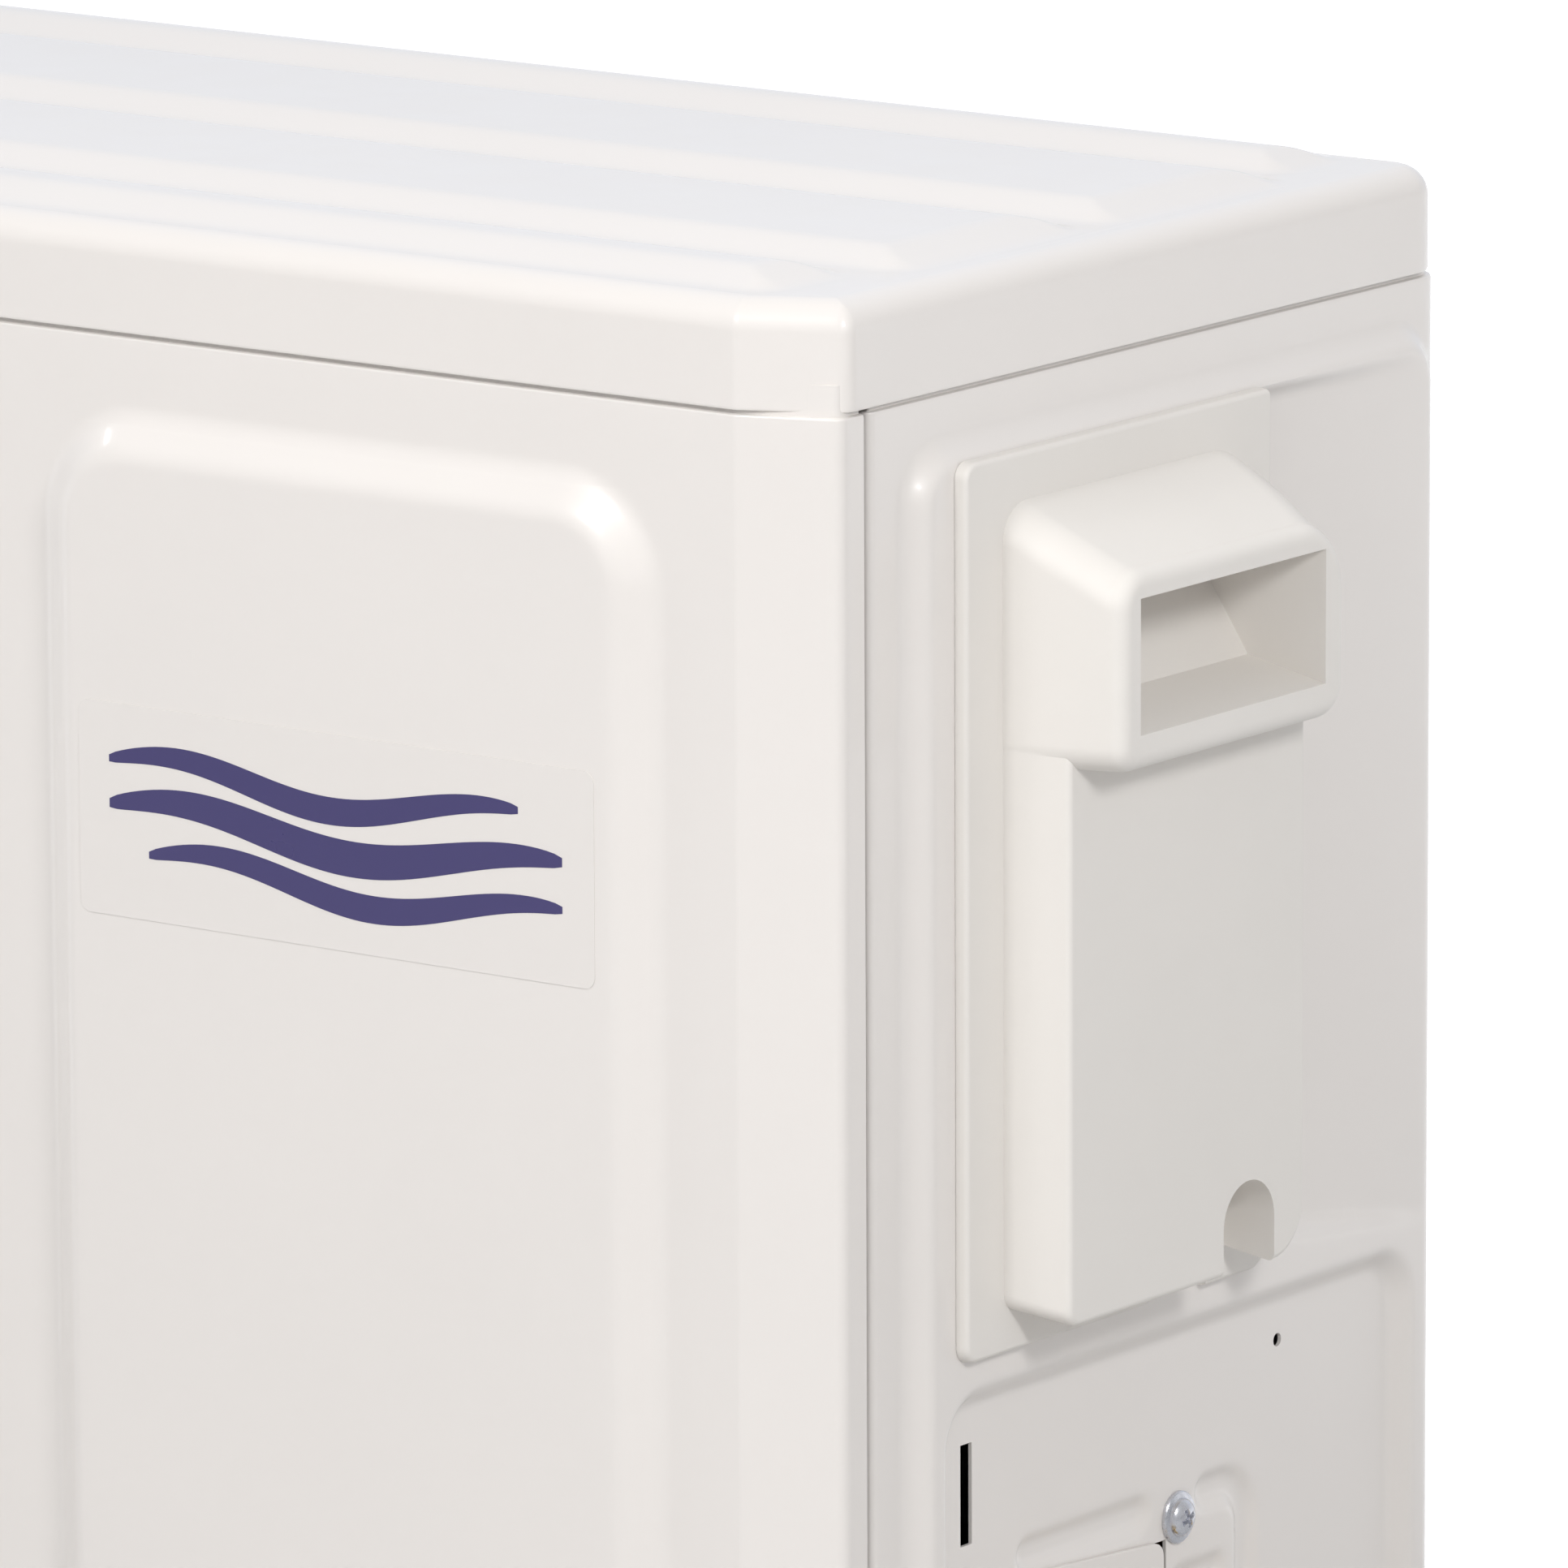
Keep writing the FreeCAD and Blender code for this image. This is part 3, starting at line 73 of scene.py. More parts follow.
def noise(tree, vector, scale, detail=2.0, rough=0.5, stretch=None):
    if stretch is not None:
        mapping = tree.nodes.new("ShaderNodeMapping")
        mapping.inputs["Scale"].default_value = stretch
        tree.links.new(vector, mapping.inputs["Vector"])
        vector = mapping.outputs["Vector"]
    node = tree.nodes.new("ShaderNodeTexNoise")
    node.inputs["Scale"].default_value = scale
    node.inputs["Detail"].default_value = detail
    node.inputs["Roughness"].default_value = rough
    tree.links.new(vector, node.inputs["Vector"])
    return node.outputs["Fac"]


def spread(tree, value, low, high, start=0.3, end=0.7):
    node = tree.nodes.new("ShaderNodeMapRange")
    node.inputs["From Min"].default_value = start
    node.inputs["From Max"].default_value = end
    node.inputs["To Min"].default_value = low
    node.inputs["To Max"].default_value = high
    tree.links.new(value, node.inputs["Value"])
    return node.outputs["Result"]


def tint(tree, value, first, second, start=0.3, end=0.7):
    node = tree.nodes.new("ShaderNodeValToRGB")
    node.color_ramp.elements[0].position = start
    node.color_ramp.elements[0].color = first
    node.color_ramp.elements[1].position = end
    node.color_ramp.elements[1].color = second
    tree.links.new(value, node.inputs["Fac"])
    return node.outputs["Color"]


def bump(tree, bsdf, heights):
    """Stacks bumps: heights is a list of (value, strength, distance in metres)."""
    last = None
    for value, strength, distance in heights:
        node = tree.nodes.new("ShaderNodeBump")
        node.inputs["Strength"].default_value = strength
        node.inputs["Distance"].default_value = distance
        tree.links.new(value, node.inputs["Height"])
        if last is not None:
            tree.links.new(last, node.inputs["Normal"])
        last = node.outputs["Normal"]
    tree.links.new(last, bsdf.inputs["Normal"])


def scaled(colour, factor):
    return (*[c * factor for c in colour[:3]], 1.0)


def coated_paint(name, colour, roughness, vary=0.985, peel=0.05):
    """Powder coat: faint tone drift, orange peel and fine grain."""
    mat, tree, bsdf, place = shader(name, colour, roughness, coat=0.6)
    drift = noise(tree, place, 9.0, 3.0)
    tree.links.new(tint(tree, drift, scaled(colour, vary), colour), bsdf.inputs["Base Color"])
    grain = noise(tree, place, 60.0, 3.0)
    tree.links.new(spread(tree, grain, roughness - 0.03, roughness + 0.04), bsdf.inputs["Roughness"])
    peel_noise = noise(tree, place, 320.0, 2.0)
    fine = noise(tree, place, 2600.0, 1.0)
    bump(tree, bsdf, [(peel_noise, peel, 0.0002), (fine, peel * 0.6, 0.00004)])
    return mat


def moulded(name, colour, roughness, grain_scale=1500.0, grain=0.12, vary=0.975):
    """Injection-moulded plastic with a fine matt texture."""
    mat, tree, bsdf, place = shader(name, colour, roughness, specular=0.4)
    drift = noise(tree, place, 14.0, 3.0)
    tree.links.new(tint(tree, drift, scaled(colour, vary), colour), bsdf.inputs["Base Color"])
    rough = noise(tree, place, 90.0, 3.0)
    tree.links.new(spread(tree, rough, roughness - 0.04, roughness + 0.05), bsdf.inputs["Roughness"])
    fine = noise(tree, place, grain_scale, 2.0, 0.6)
    wave = noise(tree, place, 40.0, 1.0)
    bump(tree, bsdf, [(wave, 0.04, 0.0006), (fine, grain, 0.00008)])
    return mat


def metal(name, colour, roughness, streak=(1.0, 1.0, 1.0), grain_scale=700.0, grain=0.08, dark=0.7,
          patch=25.0):
    """Bare metal: blotches of tone, uneven roughness and drawn or brushed grain along `streak`."""
    mat, tree, bsdf, place = shader(name, colour, roughness, metallic=1.0)
    blotch = noise(tree, place, patch, 4.0, 0.6)
    tree.links.new(tint(tree, blotch, scaled(colour, dark), colour, 0.25, 0.65), bsdf.inputs["Base Color"])
    rough = spread(tree, noise(tree, place, patch * 3, 3.0), max(roughness - 0.08, 0.05), roughness + 0.12)
    tree.links.new(rough, bsdf.inputs["Roughness"])
    lines = noise(tree, place, grain_scale, 2.0, 0.5, streak)
    bump(tree, bsdf, [(lines, grain, 0.0001)])
    return mat


def zinc_sheet_material():
    """Galvanised sheet with its crystalline spangle."""
    colour = (0.50, 0.52, 0.54, 1.0)
    mat, tree, bsdf, place = shader("galvanised", colour, 0.4, metallic=0.9)
    cells = tree.nodes.new("ShaderNodeTexVoronoi")
    cells.inputs["Scale"].default_value = 140.0
    tree.links.new(place, cells.inputs["Vector"])
    away = cells.outputs["Distance"]
    dark, light = (0.40, 0.42, 0.44, 1), (0.62, 0.64, 0.66, 1)
    tree.links.new(tint(tree, away, dark, light, 0.1, 0.6), bsdf.inputs["Base Color"])
    tree.links.new(spread(tree, away, 0.3, 0.5, 0.0, 0.6), bsdf.inputs["Roughness"])
    bump(tree, bsdf, [(noise(tree, place, 500.0, 2.0), 0.06, 0.0001)])
    return mat


def board_material():
    """Solder mask over copper tracks, drawn with a brick pattern."""
    mat, tree, bsdf, place = shader("board", (0.02, 0.14, 0.06, 1), 0.35, coat=0.3)
    tracks = tree.nodes.new("ShaderNodeTexBrick")
    tracks.inputs["Scale"].default_value = 60.0
    tracks.inputs["Mortar Size"].default_value = 0.03
    tracks.inputs["Color1"].default_value = (0.015, 0.12, 0.05, 1)
    tracks.inputs["Color2"].default_value = (0.02, 0.15, 0.07, 1)
    tracks.inputs["Mortar"].default_value = (0.10, 0.30, 0.12, 1)
    tree.links.new(place, tracks.inputs["Vector"])
    tree.links.new(tracks.outputs["Color"], bsdf.inputs["Base Color"])
    bump(tree, bsdf, [(tracks.outputs["Fac"], 0.2, 0.0001)])
    return mat


PAINT = (0.815, 0.775, 0.742, 1.0)
MATERIALS = {
    "case_paint": coated_paint("case_paint", PAINT, 0.34),
    "zinc_sheet": zinc_sheet_material(),
    "cover_plastic": moulded("cover_plastic", (0.795, 0.762, 0.722, 1.0), 0.52),
    "grille_plastic": moulded("grille_plastic", (0.80, 0.77, 0.735, 1.0), 0.42, 900.0, 0.06),
    "fan_plastic": moulded("fan_plastic", (0.30, 0.34, 0.36, 1.0), 0.38, 900.0, 0.08, 0.9),
    "black_paint": coated_paint("black_paint", (0.018, 0.018, 0.02, 1.0), 0.38, 0.7, 0.12),
    "copper": metal("copper", (0.78, 0.38, 0.24, 1.0), 0.3, dark=0.62, patch=40.0),
    "valve_brass": metal("valve_brass", (0.78, 0.58, 0.28, 1.0), 0.28, dark=0.78, patch=60.0),
    "coil_aluminium": metal("coil_aluminium", (0.80, 0.81, 0.82, 1.0), 0.36, (1.0, 1.0, 0.05),
                            900.0, 0.05, 0.85),
    "lamination": metal("lamination", (0.30, 0.30, 0.31, 1.0), 0.45, (0.05, 0.05, 1.0), 1600.0, 0.3, 0.7),
    "steel": metal("steel", (0.48, 0.49, 0.50, 1.0), 0.28, dark=0.8, patch=50.0),
    "fastener": metal("fastener", (0.72, 0.73, 0.78, 1.0), 0.24, dark=0.85, patch=200.0, grain=0.03),
    "rubber": moulded("rubber", (0.022, 0.022, 0.023, 1.0), 0.75, 700.0, 0.25, 0.7),
    "board": board_material(),
    "terminal_plastic": moulded("terminal_plastic", (0.035, 0.035, 0.038, 1.0), 0.45, 1200.0, 0.15, 0.7),
    "capacitor_case": metal("capacitor_case", (0.70, 0.71, 0.73, 1.0), 0.35, (1.0, 1.0, 0.1),
                            500.0, 0.04, 0.9),
    "badge": coated_paint("badge_ink", (0.048, 0.038, 0.155, 1.0), 0.30, 0.93, 0.01),
    "coil_epoxy": coated_paint("coil_epoxy", (0.03, 0.03, 0.034, 1.0), 0.33, 0.7, 0.2),
}
FILM = coated_paint("badge_clear_film", scaled(PAINT, 0.985), 0.22, 0.995, 0.01)


# --- mesh helpers
def piece(name, verts, faces, body, slot, nodes=(), material=None, thick=0.0, crease=30.0, weighted=True):
    """Makes one visible piece: verts in mm; thick is a sheet's thickness, laid on its inner side."""
    mesh = bpy.data.meshes.new(name)
    mesh.from_pydata((np.asarray(verts, float) * MM).tolist(), [], [list(map(int, f)) for f in faces])
    mesh.validate()
    return dress(name, mesh, body, slot, nodes, material, thick, crease, weighted)


def dress(name, mesh, body, slot, nodes=(), material=None, thick=0.0, crease=30.0, weighted=True):
    """Finishes a mesh that is in metres: normals, thickness, material, body and slot."""
    obj = bpy.data.objects.new(name, mesh)
    bpy.context.scene.collection.objects.link(obj)
    if thick:
        wall = obj.modifiers.new("wall", "SOLIDIFY")
        wall.thickness = thick * MM
        wall.offset = -1.0
        mesh = evaluated(obj)
        obj.modifiers.clear()
        obj.data = mesh
    mesh.polygons.foreach_set("use_smooth", [True] * len(mesh.polygons))
    mesh.set_sharp_from_angle(angle=math.radians(crease))
    if weighted:
        normals = obj.modifiers.new("normals", "WEIGHTED_NORMAL")
        normals.keep_sharp = True
        normals.weight = 60
        obj.data = evaluated(obj)
        obj.modifiers.clear()
        obj.data.name = name
    obj.data.materials.clear()
    obj.data.materials.append(material or MATERIALS[slot])
    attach(obj, body)
    if nodes:
        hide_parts(*nodes)
    return obj


def evaluated(obj):
    depsgraph = bpy.context.evaluated_depsgraph_get()
    return bpy.data.meshes.new_from_object(obj.evaluated_get(depsgraph), depsgraph=depsgraph)


def soft(x, s):
    """Zero below -s, x above s, and a parabola between."""
    return np.where(x < -s, 0.0, np.where(x > s, x, (x + s) ** 2 / (4 * s)))


def ramp(inside, width, round_mm):
    """0 outside, 1 inside: a slope of `width` with both its corners rounded."""
    return (soft(inside, round_mm) - soft(inside - width, round_mm)) / width


def in_box(a, b, a0, a1, b0, b1, r):
    """How far a point lies inside a rectangle with rounded corners."""
    qa = np.abs(a - (a0 + a1) / 2) - ((a1 - a0) / 2 - r)
    qb = np.abs(b - (b0 + b1) / 2) - ((b1 - b0) / 2 - r)
    return r - np.hypot(np.maximum(qa, 0), np.maximum(qb, 0)) - np.minimum(np.maximum(qa, qb), 0)


def in_pill(a, b, start, end, r):
    """How far a point lies inside a bead of radius r from start to end."""
    start, end = np.array(start, float), np.array(end, float)
    run = end - start
    t = np.clip(((a - start[0]) * run[0] + (b - start[1]) * run[1]) / (run @ run), 0, 1)
    return r - np.hypot(a - start[0] - t * run[0], b - start[1] - t * run[1])


def lines(low, high, coarse, fine_spans, extra=(), fine=0.8):
    """Grid lines from low to high: `fine` apart inside the spans and at most `coarse` apart elsewhere."""
    marks = {round(low, 3), round(high, 3)}
    marks.update(round(v, 3) for v in extra if low <= v <= high)
    for a, b in fine_spans:
        a, b = max(a, low), min(b, high)
        if b > a:
            marks.update(np.round(np.linspace(a, b, max(2, int((b - a) / fine) + 1)), 3))
    exact = {round(v, 3) for v in extra}
    marks = sorted(marks)
    out = [marks[0]]
    for value in marks[1:]:
        if value - out[-1] < 0.3 and value not in exact:
            continue
        if value - out[-1] < 0.3 and out[-1] not in exact:
            out.pop()
        gap = value - out[-1]
        if gap > coarse:
            out.extend(np.linspace(out[-1], value, int(math.ceil(gap / coarse)) + 1)[1:-1])
        out.append(value)
    return np.array(out)


def bent_path(corners, radii, marks, steps=8):
    """Points (x, y, nx, ny) along a folded sheet seen from above. marks holds grid lines for runs
    along x or y. The normal is to the right of the direction of travel."""
    corners = [np.array(c, float) for c in corners]
    out = []
    start = corners[0]
    for index in range(1, len(corners)):
        before, here = corners[index - 1], corners[index]
        into = (here - before) / np.linalg.norm(here - before)
        if index < len(corners) - 1:
            leave = corners[index + 1] - here
            leave /= np.linalg.norm(leave)
            turn = math.atan2(into[0] * leave[1] - into[1] * leave[0], into @ leave)
            leg = radii[index - 1] * math.tan(abs(turn) / 2)
        else:
            leg = 0.0
        stop = here - into * leg
        normal = np.array([into[1], -into[0]])
        axis = 0 if abs(into[0]) > 0.99 else 1 if abs(into[1]) > 0.99 else None
        spots = [0.0, float((stop - start) @ into)]
        if axis is not None:
            for value in marks.get("xy"[axis], ()):
                t = (value - start[axis]) * into[axis]
                if 0.3 < t < spots[1] - 0.3:
                    spots.append(t)
        for t in sorted(spots):
            out.append((*(start + into * t), *normal))
        if leg:
            radius = radii[index - 1]
            side = 1 if turn > 0 else -1
            left = np.array([-into[1], into[0]])
            centre = stop + left * radius * side
            for k in range(1, steps):
                angle = turn * k / steps
                c, s = math.cos(angle), math.sin(angle)
                spoke = np.array([normal[0] * c - normal[1] * s, normal[0] * s + normal[1] * c])
                out.append((*(centre + spoke * radius * side), *spoke))
            start = here + leave * leg
    return np.array(out)


def grid_faces(rows, columns, keep=None):
    """Quads of a rows x columns grid of vertices; keep(i, j) may drop a cell."""
    faces = []
    for i in range(rows - 1):
        for j in range(columns - 1):
            if keep is None or keep(i, j):
                a = i * columns + j
                faces.append((a, a + columns, a + columns + 1, a + 1))
    return faces


def strips(faces, rings, count, closed=True, first=0):
    """Quads between successive rings of `count` vertices."""
    span = count if closed else count - 1
    for k in range(rings - 1):
        for i in range(span):
            a = first + k * count + i
            b = first + k * count + (i + 1) % count
            faces.append((a, b, b + count, a + count))
    return faces


def merge(parts):
    """Joins (verts, faces) pairs into one."""
    verts, faces = [], []
    for part_verts, part_faces in parts:
        base = len(verts)
        verts.extend(part_verts)
        faces.extend([[v + base for v in face] for face in part_faces])
    return verts, faces


def turned(profile, axis, centre, count=48, closed=False):
    """A solid of revolution: profile holds (along, radius) pairs, centre the two other coordinates."""
    verts, faces = [], []
    for along, radius in profile:
        for k in range(count):
            angle = 2 * math.pi * k / count
            a, b = radius * math.cos(angle), radius * math.sin(angle)
            point = {"X": (along, centre[0] + a, centre[1] + b),
                     "Y": (centre[0] + b, along, centre[1] + a),
                     "Z": (centre[0] + a, centre[1] + b, along)}[axis]
            verts.append(point)
    strips(faces, len(profile), count)
    if closed:
        last = (len(profile) - 1) * count
        faces.extend((last + i, last + (i + 1) % count, (i + 1) % count, i) for i in range(count))
    else:
        faces.append(list(range(count))[::-1])
        faces.append([(len(profile) - 1) * count + i for i in range(count)])
    return verts, faces


def block(x, y, z, bevel=0.0, steps=2):
    """A box with rounded edges, as (verts, faces)."""
    bm = bmesh.new()
    bmesh.ops.create_cube(bm, size=1.0)
    size = (x[1] - x[0], y[1] - y[0], z[1] - z[0])
    middle = ((x[0] + x[1]) / 2, (y[0] + y[1]) / 2, (z[0] + z[1]) / 2)
    bmesh.ops.scale(bm, vec=size, verts=bm.verts)
    bmesh.ops.translate(bm, vec=middle, verts=bm.verts)
    if bevel:
        bmesh.ops.bevel(bm, geom=bm.edges[:], offset=bevel, segments=steps, profile=0.5, affect="EDGES")
    bm.verts.index_update()
    out = [tuple(v.co) for v in bm.verts], [[v.index for v in f.verts] for f in bm.faces]
    bm.free()
    return out


def outward(verts, faces):
    """The same closed shell with its normals turned outwards."""
    bm = bmesh.new()
    handles = [bm.verts.new(v) for v in verts]
    for face in faces:
        try:
            bm.faces.new([handles[i] for i in face])
        except ValueError:
            pass
    bmesh.ops.recalc_face_normals(bm, faces=bm.faces)
    bm.verts.index_update()
    out = [tuple(v.co) for v in bm.verts], [[v.index for v in f.verts] for f in bm.faces]
    bm.free()
    return out


def solid(name, shape):
    """A temporary object in millimetres for cutting."""
    mesh = bpy.data.meshes.new(name)
    verts, faces = outward(*shape)
    mesh.from_pydata(verts, [], faces)
    obj = bpy.data.objects.new(name, mesh)
    bpy.context.scene.collection.objects.link(obj)
    return obj


def combine(base, other, how):
    """Boolean of two temporary objects; the second is used up."""
    mod = base.modifiers.new("cut", "BOOLEAN")
    mod.operation = how
    mod.solver = "EXACT"
    mod.object = other
    mesh = evaluated(base)
    base.modifiers.clear()
    base.data = mesh
    bpy.data.objects.remove(other)
    return base


# --- case: sizes
RIGHT, REAR = 380.0, 130.0
ACROSS = 24.4
PANEL_FOOT, PANEL_TOP, NECK_TOP = 21.0, 512.9, 520.5
COVER_LOW, COVER_TOP = 513.8, 540.0
SIDE_PAD = 4.8
FAN_X, FAN_Z = -110.0, 270.0
FAN_FRAME, MOUTH = 222.0, 204.0


# --- top cover
def rounded_outline(corners, radii, inset, steps):
    """A convex outline moved inwards by inset, with its corners rounded. The number of points is the
    same at every inset."""
    count = len(corners)
    corners = [np.array(c, float) for c in corners]
    moved = []
    for i in range(count):
        before, here, after = corners[i - 1], corners[i], corners[(i + 1) % count]
        a = (here - before) / np.linalg.norm(here - before)
        b = (after - here) / np.linalg.norm(after - here)
        na, nb = np.array([a[1], -a[0]]), np.array([b[1], -b[0]])
        moved.append(here - inset * (na + nb) / (1 + na @ nb))
    points = []
    for i in range(count):
        before, here, after = moved[i - 1], moved[i], moved[(i + 1) % count]
        a = (here - before) / np.linalg.norm(here - before)
        b = (after - here) / np.linalg.norm(after - here)
        turn = math.atan2(a[0] * b[1] - a[1] * b[0], a @ b)
        radius = max(radii[i] - inset, 0.4)
        leg = radius * math.tan(abs(turn) / 2)
        centre = here - a * leg + np.array([-a[1], a[0]]) * radius
        normal = np.array([a[1], -a[0]])
        for k in range(steps + 1):
            angle = turn * k / steps
            c, s = math.cos(angle), math.sin(angle)
            spoke = np.array([normal[0] * c - normal[1] * s, normal[0] * s + normal[1] * c])
            points.append(centre + radius * spoke)
    return points


RIBS = (  # front foot, rear foot and half length of each rib
    (-119.0, -84.5, 356.5), (-78.5, -1.5, 365.5), (4.5, 83.5, 366.5), (89.5, 121.0, 357.5))
RIB_HIGH, RIB_SLOPE = 4.0, 12.5


def cover_height(x, y):
    h = np.zeros_like(x)
    for front, rear, half in RIBS:
        slope = min(RIB_SLOPE, (rear - front) / 2 - 2.5)
        h = np.maximum(h, RIB_HIGH * ramp(in_box(x, y, -half, half, front, rear, 9.0), slope, 2.6))
    return h


def make_cover():
    lip = 0.3
    side, rear = RIGHT + lip, REAR + lip
    chamfer_back = 11.7
    corners = [(-side, rear), (-side, -rear + chamfer_back), (-side + ACROSS, -rear), (side - ACROSS, -rear),
               (side, -rear + chamfer_back), (side, rear)]
    radii = [12.0, 5.0, 5.0, 5.0, 5.0, 12.0]
    steps, edge = 10, 7.5
    profile = [(0.9, COVER_LOW), (0.25, COVER_LOW + 0.25), (0.0, COVER_LOW + 0.9),
               (0.0, COVER_TOP - edge)]
    for k in range(1, 9):
        angle = math.pi / 2 * k / 8
        profile.append((edge * (1 - math.cos(angle)), COVER_TOP - edge + edge * math.sin(angle)))
    verts, count = [], 0
    for inset, z in profile:
        ring = rounded_outline(corners, radii, inset, steps)
        count = len(ring)
        verts.extend((p[0], p[1], z) for p in ring)
    faces = strips([], len(profile), count)
    ys = lines(-120.5, 121.8, 8.0, [(-120.5, 121.8)], fine=1.1)
    xs = lines(-368.5, 368.5, 24.0, [(-368.5, -328.0), (328.0, 368.5)], fine=1.1)
    gx, gy = np.meshgrid(xs, ys, indexing="ij")
    gz = COVER_TOP + cover_height(gx, gy)
    base = len(verts)
    verts.extend(zip(gx.ravel(), gy.ravel(), gz.ravel()))
    rows, columns = gx.shape
    inner = grid_faces(rows, columns, lambda i, j: abs(xs[i] + xs[i + 1]) / 2 < 358 or ys[j] > -113)
    faces.extend([[v + base for v in f] for f in inner])
    outer = [(len(profile) - 1) * count + i for i in range(count)]
    loops = [outer, [base + r for r in rim_of(inner)]]
    flat = [v for loop in loops for v in loop]
    for tri in tessellate_polygon([[Vector(verts[v]) for v in loop] for loop in loops]):
        faces.append([flat[t] for t in tri])
    verts, faces = outward(verts, faces)
    piece("top_cover_pressed", verts, faces, "cabinet", "case_paint", ["top_cover"], thick=1.0, crease=38)


# --- front panel
def sheet_rows(zs):
    """Heights of a sheet's rows of vertices, and how far each row is set in: a rolled foot and top,
    then the neck."""
    levels = [(PANEL_FOOT, 4.0), (PANEL_FOOT, 0.8), (PANEL_FOOT + 0.25, 0.25)]
    levels += [(z, 0.0) for z in zs]
    levels += [(PANEL_TOP - 0.25, 0.25), (PANEL_TOP, 0.8), (PANEL_TOP, 1.5), (NECK_TOP, 1.6)]
    return np.array([level[0] for level in levels]), np.array([level[1] for level in levels])


def folded_sheet(path, zs, flat, relief):
    """Grid coordinates of a sheet standing on path; relief counts only on the path's flat stretch."""
    z, inset = sheet_rows(zs)
    rise = np.where(flat[:, None], relief, 0.0) - inset[None, :]
    x = path[:, 0][:, None] + path[:, 2][:, None] * rise
    y = path[:, 1][:, None] + path[:, 3][:, None] * rise
    return x, y, np.array(np.broadcast_to(z[None, :], x.shape))


def front_height(x, z):
    return 6.0 * ramp(in_box(x, z, 149.5, 333.0, 60.0, 494.3, 27.0), 9.0, 2.6)


def make_front():
    wrap = 17.6
    corners = [(-RIGHT, -REAR + wrap), (-RIGHT, -REAR + 8.5), (-RIGHT + ACROSS, -REAR),
               (RIGHT - ACROSS, -REAR), (RIGHT, -REAR + 8.5), (RIGHT, -REAR + wrap)]
    fan = (FAN_X - FAN_FRAME, FAN_X + FAN_FRAME, FAN_Z - FAN_FRAME, FAN_Z + FAN_FRAME)
    xs = lines(-350.0, 350.0, 8.0, [(146.0, 182.0), (300.0, 336.0)], extra=fan[:2], fine=0.9)
    zs = lines(PANEL_FOOT + 0.8, PANEL_TOP - 0.8, 8.0, [(56.0, 92.0), (462.0, 498.0)],
               extra=fan[2:], fine=0.9)
    path = bent_path(corners, [4.0] * 4, {"x": xs})
    on_front = path[:, 3] < -0.9999
    z = sheet_rows(zs)[0]
    x, y, zz = folded_sheet(path, zs, on_front, front_height(path[:, 0][:, None], z[None, :]))
    verts = list(zip(x.ravel(), y.ravel(), zz.ravel()))
    rows, columns = x.shape

    def keep(i, j):
        cx = (path[i, 0] + path[i + 1, 0]) / 2
        cz = (z[j] + z[j + 1]) / 2
        return not (on_front[i] and on_front[i + 1] and fan[0] < cx < fan[1] and fan[2] < cz < fan[3])

    faces = grid_faces(rows, columns, keep)
    i0 = int(np.argmin(np.abs(path[:, 0] - fan[0]) + 1e3 * ~on_front))
    i1 = int(np.argmin(np.abs(path[:, 0] - fan[1]) + 1e3 * ~on_front))
    j0, j1 = int(np.argmin(np.abs(z - fan[2]))), int(np.argmin(np.abs(z - fan[3])))
    rim = [i * columns + j0 for i in range(i0, i1)] + [i1 * columns + j for j in range(j0, j1)]
    rim += [i * columns + j1 for i in range(i1, i0, -1)] + [i0 * columns + j for j in range(j1, j0, -1)]
    roll = 4.0
    rings = [(MOUTH + 8.0, 0.0), (MOUTH + roll, 0.0)]
    for k in range(1, 6):
        angle = math.pi / 2 * k / 5
        rings.append((MOUTH + roll * (1 - math.sin(angle)), roll * (1 - math.cos(angle))))
    rings.append((MOUTH, 21.0))
    last = rim
    for radius, deep in rings:
        ring = []
        for v in rim:
            angle = math.atan2(verts[v][2] - FAN_Z, verts[v][0] - FAN_X)
            ring.append(len(verts))
            verts.append((FAN_X + radius * math.cos(angle), -REAR + deep, FAN_Z + radius * math.sin(angle)))
        for k in range(len(rim)):
            n = (k + 1) % len(rim)
            faces.append((last[k], last[n], ring[n], ring[k]))
        last = ring
    verts, faces = outward(verts, faces)
    piece("front_panel_pressed", verts, faces, "cabinet", "case_paint", ["front_panel"], thick=1.0, crease=38)


# --- side panel
WELL = (-87.0, 110.5, 50.0, 272.3)
SLOT = (-74.8, -70.1, 233.0, 258.0)
PILOT = (58.4, 257.2, 1.7)
VALVE_WINDOW = (-62.0, 10.8, 62.0, 216.8)
WIRING_WINDOW = (-71.0, 33.0, 302.0, 484.0)


def side_height(y, z):
    h = SIDE_PAD * ramp(in_box(y, z, -98.0, 122.5, 34.0, 502.6, 15.0), 5.2, 1.9)
    h -= SIDE_PAD * ramp(in_box(y, z, *WELL, 14.0), 4.6, 1.3)
    foot = 283.5 - 0.13 * (y - 62.0)
    along = np.clip((119.0 - y) / (119.0 - 45.0), 0.0, 1.0)
    within = np.minimum(z - foot, 496.5 - z)
    corner = 10.0
    fade = ramp(np.where(y < 60.0, np.minimum(within, corner), within), 3.4, 1.2)
    h -= 6.0 * fade * along ** 1.25 * (y > 30.0)
    bead = np.maximum(in_pill(y, z, (-47.0, 225.2), (-0.6, 225.2), 5.0),
                      np.maximum(in_pill(y, z, (28.0, 225.2), (35.0, 225.2), 5.0),
                                 np.where((y > 35.0) & (z > 212.0),
                                          5.0 - np.abs(np.hypot(y - 34.6, z - 214.6) - 10.6), -5.0)))
    bead = np.maximum(bead, in_pill(y, z, (45.2, 214.0), (45.2, 90.0), 5.0))
    bead = np.maximum(bead, in_pill(y, z, (17.0, 205.0), (32.0, 205.0), 4.4))
    return h - 2.0 * ramp(bead, 2.8, 1.0)


